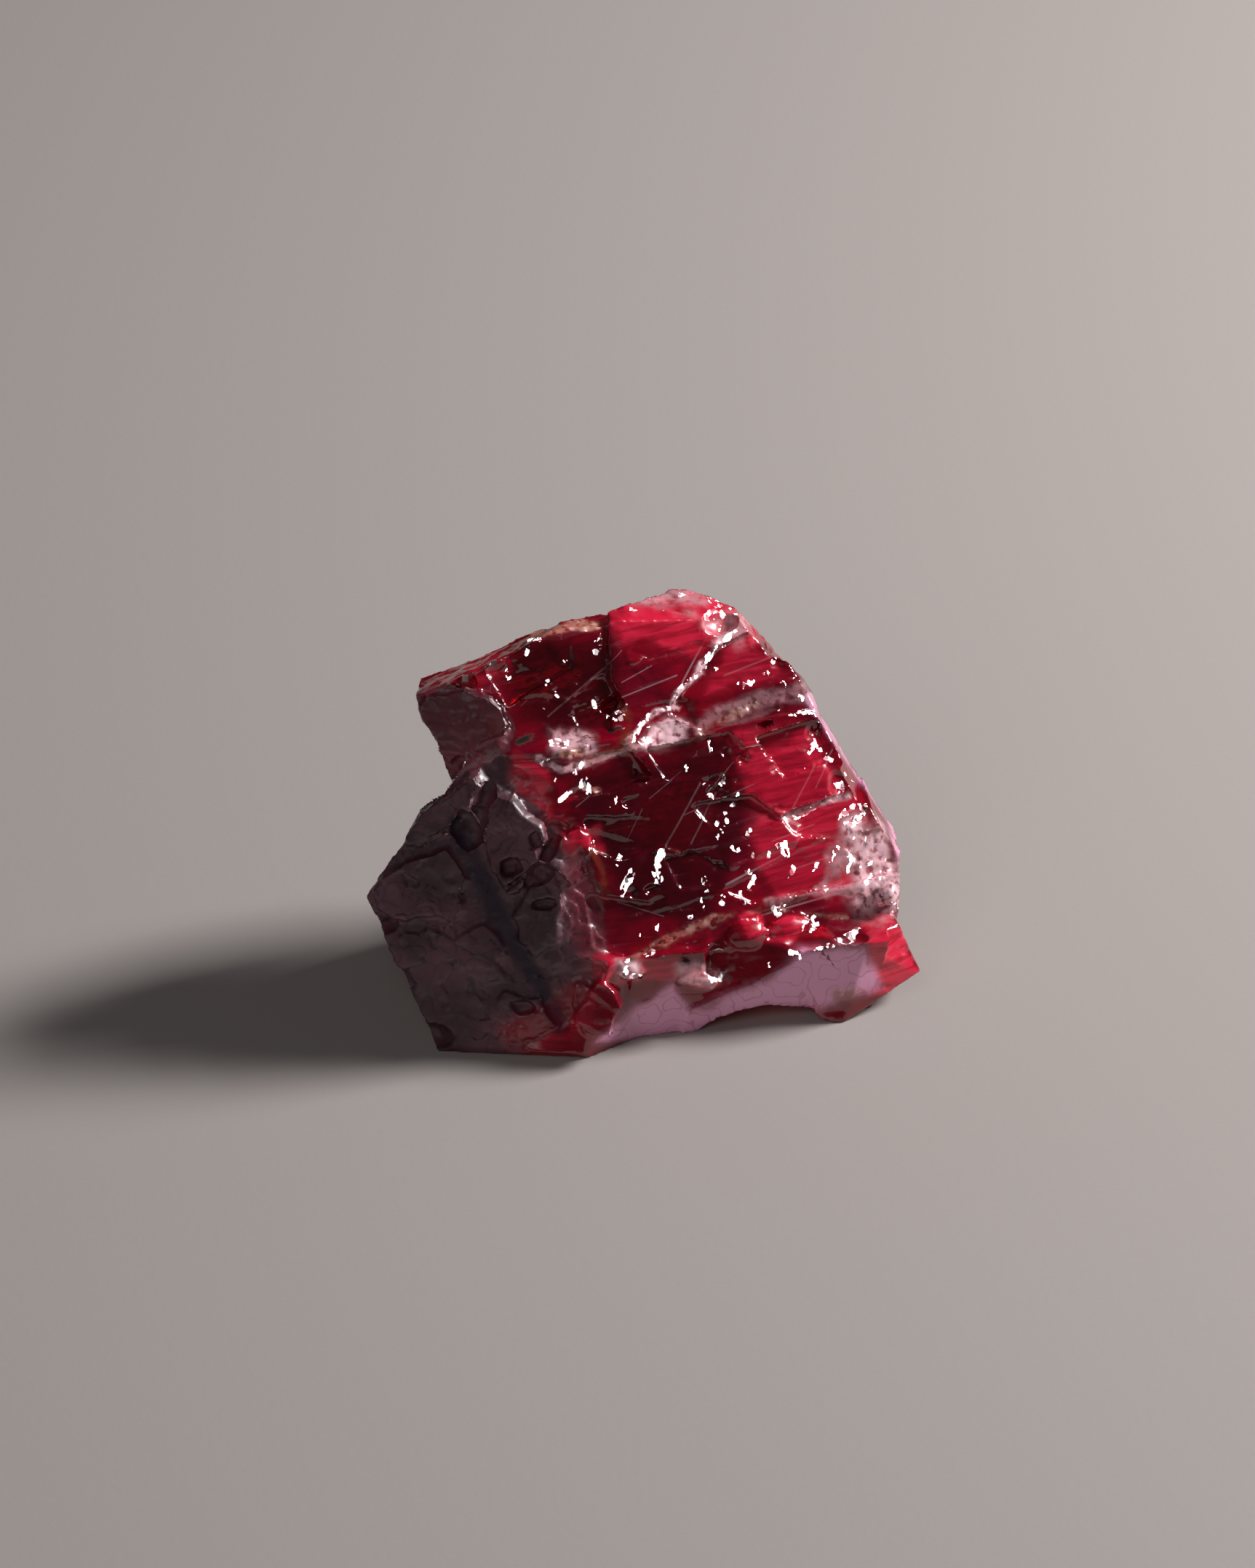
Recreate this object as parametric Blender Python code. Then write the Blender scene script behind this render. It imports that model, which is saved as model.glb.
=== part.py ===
"""A rough ruby crystal: a chunk of red corundum that parted in three nearly level slabs.

The numbers are millimetres in a measuring frame: +X right, +Y away from the front, +Z up,
Z = 0 on the resting face. CENTRE moves the finished stone so that the world origin is the
middle of its bounding box, at floor level.
"""

import math
import random

import bmesh
import bpy
from mathutils import Matrix, Vector

MM = 0.001
BLANK_SIDE = 80.0
CENTRE = Vector((0.09, 7.006, 0.0))
LOW_PARTING = 3.6
HIGH_PARTING = 11.0

# No two slabs broke along exactly the same plane, so each face strays by a few tenths of a degree.
STRAY_ANGLE = 0.6
STRAY_SHIFT = 0.03

# Corners closer than this are joined at the end.
SLIVER = 0.002

# A face is an azimuth (0 looks to the front, 90 to the right), an angle above level, and a point.
BREAK = (25.0, 33.0, (3.87, 2.09, 2.35))
GROWN = (-7.5, 20.5, (-8.2, 0.26, 0.2))
UPPER_BREAK = (26.0, 35.0, (5.9, 10.35, 11.0))
UPPER_GROWN = (-10.5, 17.5, (-7.7, 4.9, 10.1))
UNDERSIDE = (0.0, -90.0, (0.0, 0.0, -0.8))
PARTED_LOW = (90.0, 86.5, (4.0, 3.0, LOW_PARTING))
RIGHT_STRIP = (97.6, 30.0, (6.85, 9.16, 10.37))
LOW_LEFT = (-79.0, -22.0, (-8.21, 0.26, 0.2))
BACK_LEFT = (-150.0, 18.0, (-9.0, 8.6, 3.0))
BACK = (176.0, 8.0, (0.0, 14.6, 4.0))
BACK_RIGHT = (138.0, 22.0, (8.6, 11.2, 5.0))

MIDDLE_SLAB = [
    BREAK,
    GROWN,
    (-90.0, -86.5, (4.0, 3.0, LOW_PARTING - 0.45)),
    (0.0, 90.0, (0.0, 0.0, HIGH_PARTING)),
    (10.6, 26.6, (-4.31, 4.06, 10.42)),
    (3.5, 31.3, (-2.1, 2.88, 7.34)),
    LOW_LEFT,
    (-116.0, 28.0, (-10.96, 2.7, 5.63)),
    RIGHT_STRIP,
    (96.0, -9.0, (10.35, 6.77, 4.6)),
    BACK_RIGHT,
    BACK,
    (-166.0, 34.0, (-4.0, 13.0, 9.0)),
    BACK_LEFT,
]
BENCH = [
    (16.0, 52.0, (5.93, 9.27, 11.0)),
    GROWN,
    (0.0, -90.0, (0.0, 0.0, HIGH_PARTING - 1.2)),
    (0.0, 90.0, (0.0, 0.0, HIGH_PARTING + 1.3)),
    (-80.0, 10.0, (-3.4, 5.0, 11.0)),
    RIGHT_STRIP,
    (152.0, 30.0, (4.0, 12.2, 11.0)),
    (177.0, 30.0, (0.0, 11.6, 11.0)),
    (-158.0, 32.0, (-7.0, 9.6, 11.0)),
]
UPPER_LEFT_SLAB = [
    UPPER_BREAK,
    UPPER_GROWN,
    (0.0, -90.0, (0.0, 0.0, HIGH_PARTING - 1.6)),
    (-86.8, -21.1, (-9.06, 6.0, 13.0)),
    (-128.0, 60.0, (-8.92, 5.97, 12.9)),
    (-135.0, 62.0, (-6.62, 6.88, 14.8)),
    (168.0, 79.0, (-5.55, 7.52, 14.65)),
    (90.0, 0.0, (1.0, 9.0, 12.0)),
    (176.0, 28.0, (0.0, 13.2, 11.0)),
    (-158.0, 32.0, (-7.0, 10.2, 11.0)),
]
UPPER_RIGHT_SLAB = [
    (26.0, 35.0, (5.9, 10.1, 11.0)),
    (0.0, -90.0, (0.0, 0.0, HIGH_PARTING - 1.3)),
    (-92.0, -4.0, (-1.25, 8.0, 12.0)),
    (125.0, 80.0, (-1.08, 9.26, 14.4)),
    (-135.0, 30.0, (-1.3, 10.6, 13.8)),
    (104.8, 35.7, (3.91, 10.93, 13.45)),
    RIGHT_STRIP,
    (146.0, 34.0, (3.6, 12.9, 12.4)),
    (-178.0, 38.0, (0.0, 13.4, 13.2)),
    (180.0, 3.0, (0.0, 13.9, 11.0)),
]
TOE_SLAB = [
    GROWN,
    UNDERSIDE,
    PARTED_LOW,
    (37.0, 5.0, (-2.17, -0.3, 0.0)),
    (-4.0, -32.0, (-4.0, -0.3, 0.35)),
    LOW_LEFT,
    (100.0, 0.0, (3.2, 0.0, 0.0)),
    (172.0, 8.0, (0.0, 12.3, 0.0)),
    (-148.0, 12.0, (-8.0, 8.2, 0.0)),
]
SOLE_SLAB = [
    (14.0, -2.0, (0.5, 1.32, 0.8)),
    (14.0, 5.0, (0.5, 1.2, 2.3)),
    UNDERSIDE,
    PARTED_LOW,
    (-62.0, 4.0, (-0.9, 1.3, 0.0)),
    (75.0, 0.0, (2.4, 1.5, 0.0)),
    (180.0, 0.0, (0.0, 9.0, 0.0)),
]
HEEL_SLAB = [
    (13.0, -4.0, (1.7, 1.46, 0.3)),
    (-2.0, 29.5, (5.03, 2.08, 2.33)),
    UNDERSIDE,
    PARTED_LOW,
    (-58.0, 6.0, (1.55, 1.45, 0.3)),
    (96.0, -12.0, (9.6, 5.0, 3.0)),
    (150.0, 8.0, (8.0, 9.4, 0.0)),
    (178.0, 6.0, (0.0, 12.2, 0.0)),
]
PRONG = [
    (47.9, 27.6, (9.99, 4.68, 3.55)),
    (28.5, 5.4, (7.96, 2.21, 0.0)),
    (61.0, -57.0, (11.12, 4.06, 1.2)),
    (105.0, 21.2, (11.12, 4.06, 1.2)),
    UNDERSIDE,
    PARTED_LOW,
    (-2.3, 14.7, (7.96, 2.21, 0.0)),
    (-70.0, 5.0, (6.3, 4.0, 1.0)),
    (165.0, 14.0, (10.0, 7.6, 1.0)),
]

# Growth plates on the steep faces: face, height above it, depth below it, lean along u and v,
# outline in the face's own axes.
PLATES = [
    (UPPER_GROWN, 0.16, 0.3, (0.03, -0.02), [
        (-1.45, 2.5), (-1.2, 3.1), (-0.3, 3.25), (0.5, 3.6), (1.6, 3.3), (2.2, 2.9), (2.6, 2.1),
        (2.2, 1.6), (1.5, 1.3), (1.2, 0.8), (0.5, 0.6),
        (0.1, 0.1), (-0.6, 0.6), (-0.7, 1.3), (-1.2, 1.8),
    ]),
    (GROWN, 0.28, 1.0, (0.06, 0.03), [
        (0.0, 10.4), (0.7, 11.1), (1.3, 11.3), (1.7, 10.8), (1.4, 10.3), (1.3, 9.7), (0.8, 9.2),
        (0.4, 8.5), (-0.3, 8.3), (-0.8, 7.9), (-1.5, 7.7), (-1.75, 8.2), (-1.2, 9.3), (-0.5, 10.0),
    ]),
    (GROWN, 0.22, 0.4, (-0.05, 0.04), [
        (-2.95, 6.1), (-2.5, 6.8), (-1.5, 7.55), (-0.4, 8.0),
        (0.2, 8.3), (0.7, 7.7), (1.2, 7.0), (0.9, 6.2),
        (1.1, 5.5), (0.5, 4.9), (0.1, 5.2), (-0.6, 5.15), (-1.2, 4.8), (-2.0, 4.95), (-2.7, 5.3),
    ]),
    (GROWN, 0.10, 0.4, (0.03, 0.05), [
        (-1.9, 4.5), (-1.2, 4.6), (-0.6, 4.9), (0.0, 4.7), (0.5, 4.4),
        (1.2, 5.0), (1.8, 5.3), (2.4, 4.9), (2.8, 4.3),
        (2.5, 3.6), (2.7, 2.9), (1.9, 2.7), (1.8, 1.9),
        (1.6, 1.0), (0.6, 1.2), (-0.5, 1.2), (-1.1, 2.3),
    ]),
    (GROWN, 0.20, 0.4, (0.05, -0.05), [
        (1.9, 10.6), (2.6, 10.3), (3.1, 9.7), (3.9, 9.3), (4.2, 8.6), (3.8, 8.2), (4.0, 7.7),
        (3.4, 7.1), (3.1, 6.4), (2.6, 6.2), (2.2, 6.8), (1.8, 7.1),
        (1.5, 8.0), (1.2, 8.7), (1.5, 9.4), (1.4, 9.9),
    ]),
    (GROWN, 0.14, 0.4, (-0.04, -0.04), [
        (3.5, 6.9), (4.0, 7.0), (4.4, 7.5), (4.8, 6.9), (4.9, 6.1), (4.7, 5.3), (4.8, 4.4), (4.3, 4.2),
        (3.8, 3.7), (3.4, 4.2), (3.0, 4.4), (3.0, 5.0), (2.7, 5.5), (3.1, 6.1),
    ]),
    (GROWN, 0.12, 0.5, (0.04, 0.05), [
        (1.7, 0.8), (2.0, 1.7), (2.6, 2.6), (3.4, 2.3), (4.2, 2.4),
        (4.5, 1.7), (5.0, 1.2), (4.0, 0.5), (2.7, 0.3),
    ]),
    (GROWN, 0.18, 0.6, (0.05, -0.06), [
        (5.3, 3.3), (6.0, 3.0), (6.6, 3.2), (7.1, 2.8), (7.4, 2.2),
        (7.1, 1.6), (7.0, 0.9), (5.8, 0.8), (5.5, 1.3), (5.2, 2.0),
    ]),
    (BREAK, 0.30, 0.8, (0.08, 0.04), [
        (-7.0, 6.2), (-6.5, 6.6), (-6.1, 7.2), (-5.2, 7.4), (-5.2, 6.8),
        (-4.9, 6.3), (-5.3, 5.8), (-5.3, 5.2), (-6.2, 4.9),
    ]),
]

# Shallow steps that followed the parting: face, depth, lean of the floor along u and v, outline.
STEPS = [
    (BREAK, 0.16, (0.03, -0.16), [
        (3.3, 5.7), (6.0, 6.0), (8.4, 5.9), (8.4, 4.2), (6.1, 4.1), (3.6, 4.9),
    ]),
    (BREAK, 0.20, (-0.03, 0.18), [
        (0.1, 3.5), (3.0, 4.1), (5.3, 4.5), (8.6, 4.0), (8.6, 2.5), (4.6, 2.5), (1.2, 2.7),
    ]),
    (BREAK, 0.26, (0.14, 0.06), [
        (-5.4, 4.6), (-2.4, 3.4), (-1.1, 2.8), (-2.0, 2.2), (-4.4, 1.9), (-5.6, 2.4),
    ]),
    (BREAK, 0.18, (-0.05, 0.18), [
        (-7.2, 9.9), (-3.9, 9.9), (-2.4, 9.7), (-1.8, 8.5), (-3.5, 8.3), (-6.8, 8.5),
    ]),
    (BREAK, 0.16, (0.08, -0.14), [(-1.6, 9.6), (1.9, 9.5), (2.3, 8.6), (0.5, 8.0), (-1.1, 8.3)]),
    (BREAK, 0.20, (0.12, 0.10), [
        (-4.9, 7.6), (-3.2, 7.2), (-1.6, 6.7), (-1.0, 5.7), (-3.8, 5.7), (-4.7, 6.2),
    ]),
    (BREAK, 0.16, (-0.08, -0.16), [(-0.3, 7.0), (2.2, 6.8), (3.3, 5.6), (0.6, 5.3)]),
    (BREAK, 0.14, (0.10, 0.05), [(3.0, 9.0), (6.6, 9.2), (6.4, 7.5), (3.8, 7.2)]),
    (BREAK, 0.12, (0.10, -0.08), [(-2.0, 5.3), (0.4, 5.2), (1.0, 3.9), (-1.6, 3.9)]),
    (UPPER_BREAK, 0.05, (0.08, -0.08), [
        (-5.3, 0.0), (-2.7, 1.9), (-1.4, 2.2), (1.2, 1.0), (0.8, -1.2), (-4.2, -1.1),
    ]),
    (UPPER_BREAK, 0.16, (0.05, 0.16), [
        (-12.4, 3.4), (-10.4, 4.4), (-8.6, 4.2), (-8.9, 2.6), (-11.9, 1.9),
    ]),
    (UPPER_BREAK, 0.14, (-0.14, 0.08), [(-9.6, 1.8), (-7.7, 2.1), (-7.3, 0.7), (-9.3, 0.3)]),
    (BACK, 0.30, (0.04, 0.12), [(-6.0, 1.2), (1.0, 1.6), (2.2, 3.4), (-5.2, 3.6)]),
    (BACK, 0.28, (0.06, -0.14), [(-3.4, 4.6), (4.0, 4.0), (6.5, 5.6), (-2.2, 6.3)]),
    (BACK, 0.24, (-0.08, 0.10), [(2.8, 0.8), (6.8, 1.0), (6.2, 3.0), (3.6, 3.2)]),
    (BACK_LEFT, 0.26, (0.05, 0.12), [(-4.2, 1.0), (0.4, 1.3), (0.8, 3.2), (-3.4, 3.4)]),
    (BACK_LEFT, 0.22, (0.08, -0.12), [(-3.6, 4.0), (0.2, 4.2), (-0.4, 6.2), (-3.0, 5.6)]),
    (BACK_RIGHT, 0.26, (0.05, 0.14), [(-2.4, -0.9), (2.0, -1.0), (2.8, 0.9), (-2.0, 1.0)]),
    (BACK_RIGHT, 0.24, (-0.06, -0.12), [(-0.8, 1.6), (3.0, 1.8), (4.0, 3.6), (0.4, 3.4)]),
    (LOW_LEFT, 0.20, (0.08, 0.10), [(-6.5, 0.9), (-2.0, 1.0), (-1.6, 2.6), (-5.8, 2.4)]),
    (RIGHT_STRIP, 0.14, (0.10, 0.08), [(-1.5, -4.4), (3.0, -4.2), (3.0, -2.0), (-1.5, -2.4)]),
]

# Grooves between the plates and the crack of the upper slab: face, width, depth, line.
GROOVES = [
    (GROWN, 0.22, 0.30, [(4.2, 6.8), (5.0, 5.9), (5.2, 4.8), (5.1, 3.4)]),
    (GROWN, 0.26, 0.30, [
        (-2.0, 4.6), (-0.7, 5.2), (-0.1, 5.0), (0.4, 4.6), (1.2, 5.3), (2.4, 6.5), (3.9, 7.7),
    ]),
    (GROWN, 0.26, 0.32, [(-1.7, 7.7), (-0.2, 8.5), (0.9, 9.2), (2.1, 10.8)]),
    (GROWN, 0.14, 0.26, [(-0.2, 7.4), (0.3, 6.8), (1.1, 7.2)]),
    (GROWN, 0.14, 0.22, [(3.6, 4.3), (4.3, 5.2), (5.0, 6.0)]),
    (GROWN, 0.24, 0.28, [(1.4, 2.8), (2.8, 3.1), (4.1, 3.3), (5.5, 3.2)]),
    (UPPER_BREAK, 0.16, 0.30, [
        (-7.3, -0.9), (-6.4, -0.2), (-5.3, 0.2), (-4.2, 0.8), (-2.7, 1.9), (-1.9, 2.5),
    ]),
]

# Pits: face, depth, outline.
PITS = [
    (GROWN, 0.34, [(0.8, 9.4), (1.1, 9.1), (1.3, 8.4), (0.9, 8.1), (0.4, 8.7)]),
    (GROWN, 0.16, [(3.6, 6.1), (4.3, 6.3), (4.6, 6.1), (4.2, 5.9), (3.7, 5.9)]),
    (GROWN, 0.18, [(2.4, 7.6), (2.9, 7.8), (3.1, 7.4), (2.8, 7.2), (2.4, 7.2)]),
    (GROWN, 0.16, [(2.9, 2.0), (3.6, 2.1), (3.9, 1.8), (3.3, 1.6)]),
    (GROWN, 0.18, [(3.4, 8.8), (3.7, 9.0), (3.9, 8.4), (3.5, 8.3)]),
    (GROWN, 0.16, [(-0.6, 0.9), (0.0, 0.8), (0.1, 0.4), (-0.4, 0.3)]),
    (BREAK, 0.45, [(-7.6, 10.7), (-6.7, 10.8), (-6.6, 10.2), (-7.5, 10.1)]),
]

# Shell-shaped hollows: centre, half sizes, azimuth and tilt of the short axis.
HOLLOWS = [
    ((0.9, 6.7, 10.9), (1.35, 0.85, 0.45), 25, 38),
    ((6.8, 8.3, 9.7), (0.75, 0.5, 0.5), 60, 30),
    ((7.9, 7.5, 7.8), (0.6, 0.9, 0.5), 62, 30),
    ((8.7, 7.0, 6.7), (0.9, 0.55, 0.5), 60, 32),
    ((8.3, 5.6, 4.9), (0.8, 0.6, 0.45), 40, 30),
    ((10.3, 6.5, 5.1), (0.5, 0.6, 0.4), 75, 10),
    ((10.5, 8.2, 4.4), (0.7, 1.0, 0.5), 97, 10),
    ((3.1, 10.8, 13.6), (0.9, 0.6, 0.5), 40, 40),
    ((4.6, 10.6, 12.7), (0.6, 0.5, 0.5), 70, 35),
    ((-1.2, 7.5, 11.5), (0.55, 0.35, 0.3), 22, 35),
    ((-7.0, 6.1, 13.3), (0.6, 0.5, 0.35), -60, 60),
    ((-3.2, 7.9, 14.4), (1.1, 0.6, 0.35), -10, 70),
    ((-10.2, 2.6, 4.6), (0.7, 0.5, 0.5), -50, -5),
    ((-9.5, 1.5, 2.6), (0.6, 0.5, 0.5), -50, -5),
    ((-8.0, 0.3, 0.6), (0.9, 0.5, 0.5), -50, -20),
    ((-0.2, 0.55, 2.9), (0.8, 0.55, 0.35), 30, 20),
    ((6.6, 2.9, 3.6), (1.1, 0.5, 0.4), 10, 50),
    ((8.3, 3.4, 3.5), (0.8, 0.5, 0.4), 20, 55),
    ((3.2, 1.75, 2.9), (0.9, 0.5, 0.4), 5, 25),
    ((0.5, 13.4, 7.5), (2.2, 1.6, 0.8), 176, 30),
    ((6.9, 11.6, 6.5), (1.5, 1.3, 0.6), 140, 25),
    ((-6.8, 9.9, 5.5), (1.7, 1.5, 0.7), -150, 25),
]

# Lumps left standing on the foot: centre, half sizes, azimuth and tilt of the short axis.
LUMPS = [
    ((2.1, 1.6, 2.3), (1.0, 0.5, 0.3), 10, 12),
    ((4.1, 2.9, 3.75), (0.95, 0.6, 0.42), 20, 45),
    ((5.8, 3.6, 3.65), (1.05, 0.6, 0.42), 25, 45),
    ((-0.4, 1.15, 3.3), (0.7, 0.5, 0.3), 25, 30),
    ((-2.5, 3.1, 7.9), (0.6, 0.6, 0.4), 15, 25),
    ((9.8, 5.5, 3.95), (0.6, 0.5, 0.45), 70, 20),
]

ARCH_OUTLINE = [(1.7, -0.5), (1.7, 0.0), (2.7, 0.72), (4.6, 0.95), (6.2, 0.55), (7.3, 0.0), (7.3, -0.5)]
ARCH_BACK = 6.0
FLAKE_COUNT = 30
FLAKE_SEED = 11


def direction(azimuth, tilt):
    """Unit vector that looks out at this azimuth and this angle above level."""
    a, t = math.radians(azimuth), math.radians(tilt)
    return Vector((math.sin(a) * math.cos(t), -math.cos(a) * math.cos(t), math.sin(t)))


def axes(azimuth, tilt):
    """Columns u (level, to the right), v (up the face) and n (out of the face)."""
    n = direction(azimuth, tilt)
    u = Vector((math.cos(math.radians(azimuth)), math.sin(math.radians(azimuth)), 0.0))
    return Matrix((u, n.cross(u), n)).transposed()


def finish(name, bm):
    """A closed mesh of triangles with its faces turned out, moved to the world frame, as an object."""
    bmesh.ops.triangulate(bm, faces=bm.faces[:])
    bmesh.ops.recalc_face_normals(bm, faces=bm.faces[:])
    bmesh.ops.translate(bm, verts=bm.verts[:], vec=-CENTRE)
    bmesh.ops.scale(bm, verts=bm.verts[:], vec=(MM, MM, MM))
    mesh = bpy.data.meshes.new(name)
    bm.to_mesh(mesh)
    bm.free()
    return bpy.data.objects.new(name, mesh)


def block(name, faces):
    """A convex solid, cut from a cube by flat faces that stray a little from the given ones."""
    rng = random.Random(name)
    bm = bmesh.new()
    bmesh.ops.create_cube(bm, size=BLANK_SIDE)
    for azimuth, tilt, through in faces:
        azimuth += rng.uniform(-STRAY_ANGLE, STRAY_ANGLE)
        tilt += rng.uniform(-STRAY_ANGLE, STRAY_ANGLE)
        normal = direction(azimuth, tilt)
        bmesh.ops.bisect_plane(
            bm,
            geom=bm.verts[:] + bm.edges[:] + bm.faces[:],
            plane_co=Vector(through) + normal * rng.uniform(-STRAY_SHIFT, STRAY_SHIFT),
            plane_no=normal,
            clear_outer=True,
        )
        rim = [edge for edge in bm.edges if edge.is_boundary]
        bmesh.ops.edgeloop_fill(bm, edges=rim)
    return finish(name, bm)


def prism(name, face, outline, low, high, lean=(0.0, 0.0), spread=1.0):
    """A solid on a face from height low to high, its ends leaned along u and v, its high end spread."""
    azimuth, tilt, through = face
    turn, origin = axes(azimuth, tilt), Vector(through)
    mean_u = sum(u for u, v in outline) / len(outline)
    mean_v = sum(v for u, v in outline) / len(outline)
    bm = bmesh.new()
    rings = []
    for height, size in ((low, 1.0), (high, spread)):
        ring = []
        for u, v in outline:
            du, dv = (u - mean_u) * size, (v - mean_v) * size
            local = Vector((mean_u + du, mean_v + dv, height + lean[0] * du + lean[1] * dv))
            ring.append(bm.verts.new(origin + turn @ local))
        bm.faces.new(ring)
        rings.append(ring)
    count = len(outline)
    for i in range(count):
        j = (i + 1) % count
        bm.faces.new((rings[0][i], rings[0][j], rings[1][j], rings[1][i]))
    return finish(name, bm)


def groove(name, face, width, depth, line):
    """A V-shaped trench cutter along a line drawn on a face."""
    azimuth, tilt, through = face
    turn, origin = axes(azimuth, tilt), Vector(through)
    points = [Vector((u, v)) for u, v in line]
    bm = bmesh.new()
    sections = []
    for i, here in enumerate(points):
        along = (points[min(i + 1, len(points) - 1)] - points[max(i - 1, 0)]).normalized()
        side = Vector((-along.y, along.x)) * (width / 2)
        corners = [(here + side, 0.35), (here - side, 0.35), (here, -depth)]
        sections.append([bm.verts.new(origin + turn @ Vector((p.x, p.y, h))) for p, h in corners])
    bm.faces.new(sections[0])
    bm.faces.new(sections[-1])
    for before, after in zip(sections, sections[1:]):
        for i in range(3):
            j = (i + 1) % 3
            bm.faces.new((before[i], before[j], after[j], after[i]))
    return finish(name, bm)


def shell(name, centre, half_sizes, azimuth, tilt, subdivisions=2):
    """A squashed ball with flat facets, its short axis looking out along the azimuth and tilt."""
    bm = bmesh.new()
    bmesh.ops.create_icosphere(bm, subdivisions=subdivisions, radius=1.0)
    bmesh.ops.scale(bm, verts=bm.verts[:], vec=half_sizes)
    place = Matrix.Translation(centre) @ axes(azimuth, tilt).to_4x4()
    bmesh.ops.transform(bm, matrix=place, verts=bm.verts[:])
    return finish(name, bm)


def arch():
    """The gap under the heel, open to the front."""
    bm = bmesh.new()
    front = [bm.verts.new((x, -2.0, z)) for x, z in ARCH_OUTLINE]
    face = bm.faces.new(front)
    grown = bmesh.ops.extrude_face_region(bm, geom=[face])["geom"]
    back = [item for item in grown if isinstance(item, bmesh.types.BMVert)]
    bmesh.ops.translate(bm, verts=back, vec=(0.6, ARCH_BACK + 2.0, -0.25))
    return finish("arch", bm)


def ground():
    """A block whose top is the floor, to cut the resting face flat."""
    bm = bmesh.new()
    bmesh.ops.create_cube(bm, size=BLANK_SIDE)
    bmesh.ops.translate(bm, verts=bm.verts[:], vec=(0.0, 0.0, -BLANK_SIDE / 2))
    return finish("ground", bm)


def flakes():
    """Small flakes lost from the broken front, each longer along the parting."""
    rng = random.Random(FLAKE_SEED)
    azimuth, tilt, through = BREAK
    turn, origin = axes(azimuth, tilt), Vector(through)
    made = []
    for i in range(FLAKE_COUNT):
        u, v = rng.uniform(-5.0, 6.5), rng.uniform(2.4, 9.8)
        centre = origin + turn @ Vector((u, v, rng.uniform(-0.02, 0.06)))
        half = (rng.uniform(0.25, 0.6), rng.uniform(0.15, 0.3), rng.uniform(0.12, 0.22))
        look = (azimuth + rng.uniform(-15, 15), tilt + rng.uniform(-12, 12))
        made.append(shell(f"flake_{i}", centre, half, *look, subdivisions=1))
    return made


def combine(target, operation, groups, tools):
    """Unite the target with each group of objects in turn, or cut the groups out of it."""
    for members in groups:
        label = members[0].name
        group = bpy.data.collections.new(label)
        tools.children.link(group)
        for member in members:
            group.objects.link(member)
            member.hide_render = True
            member.display_type = "WIRE"
        target.modifiers.new("triangles for " + label, "TRIANGULATE")
        step = target.modifiers.new(label, "BOOLEAN")
        step.operation = operation
        step.operand_type = "COLLECTION"
        step.collection = group
        step.solver = "EXACT"


def ruby_material():
    material = bpy.data.materials.new("ruby")
    material.use_nodes = True
    shader = material.node_tree.nodes["Principled BSDF"]
    shader.inputs["Base Color"].default_value = (0.33, 0.008, 0.03, 1.0)
    shader.inputs["Metallic"].default_value = 0.0
    shader.inputs["Roughness"].default_value = 0.12
    shader.inputs["IOR"].default_value = 1.77
    shader.inputs["Transmission Weight"].default_value = 0.8
    return material


def main():
    for old in list(bpy.data.objects):
        bpy.data.objects.remove(old)
    stone = bpy.data.collections.new("rough_ruby")
    tools = bpy.data.collections.new("cutters")
    bpy.context.scene.collection.children.link(stone)
    bpy.context.scene.collection.children.link(tools)

    ruby = block("ruby_crystal", MIDDLE_SLAB)
    stone.objects.link(ruby)
    ruby.data.materials.append(ruby_material())

    slabs = [
        block("bench", BENCH),
        block("upper_left", UPPER_LEFT_SLAB),
        block("upper_right", UPPER_RIGHT_SLAB),
        block("toe", TOE_SLAB),
        block("sole", SOLE_SLAB),
        block("heel", HEEL_SLAB),
        block("prong", PRONG),
    ]
    combine(ruby, "UNION", [slabs], tools)

    steps = []
    for i, (face, depth, lean, line) in enumerate(STEPS):
        steps.append(prism(f"step_{i}", face, line, -depth, 1.2, lean, 1.15))
    steps += [shell(f"hollow_{i}", *hollow) for i, hollow in enumerate(HOLLOWS)]
    steps += flakes()
    steps.append(arch())
    combine(ruby, "DIFFERENCE", [steps], tools)

    grown = []
    for i, (face, high, sunk, lean, line) in enumerate(PLATES):
        grown.append(prism(f"plate_{i}", face, line, -sunk, high, lean, 0.9))
    grown += [shell(f"lump_{i}", *lump) for i, lump in enumerate(LUMPS)]
    combine(ruby, "UNION", [[item] for item in grown], tools)

    etched = [groove(f"groove_{i}", *line) for i, line in enumerate(GROOVES)]
    for i, (face, depth, line) in enumerate(PITS):
        etched.append(prism(f"pit_{i}", face, line, -depth, 0.8, spread=1.8))
    combine(ruby, "DIFFERENCE", [[item] for item in etched], tools)
    combine(ruby, "DIFFERENCE", [[ground()]], tools)
    weld = ruby.modifiers.new("close slivers", "WELD")
    weld.merge_threshold = SLIVER * MM


if __name__ == "__main__":
    main()
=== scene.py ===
"""Looks of a rough ruby crystal on a pale floor: its broken and grown faces, veins, stains and light.

Lengths are millimetres in this script's own values, and metres only where they enter Blender.
A place on the stone is given as the camera sees it: across and up, in millimetres from the middle
of the picture, in the plane that faces the camera at the stone's depth.
"""

import logging
import math
from dataclasses import dataclass, field
from enum import Enum

import bmesh
import bpy
import numpy as np
from mathutils import Matrix, Vector


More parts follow.
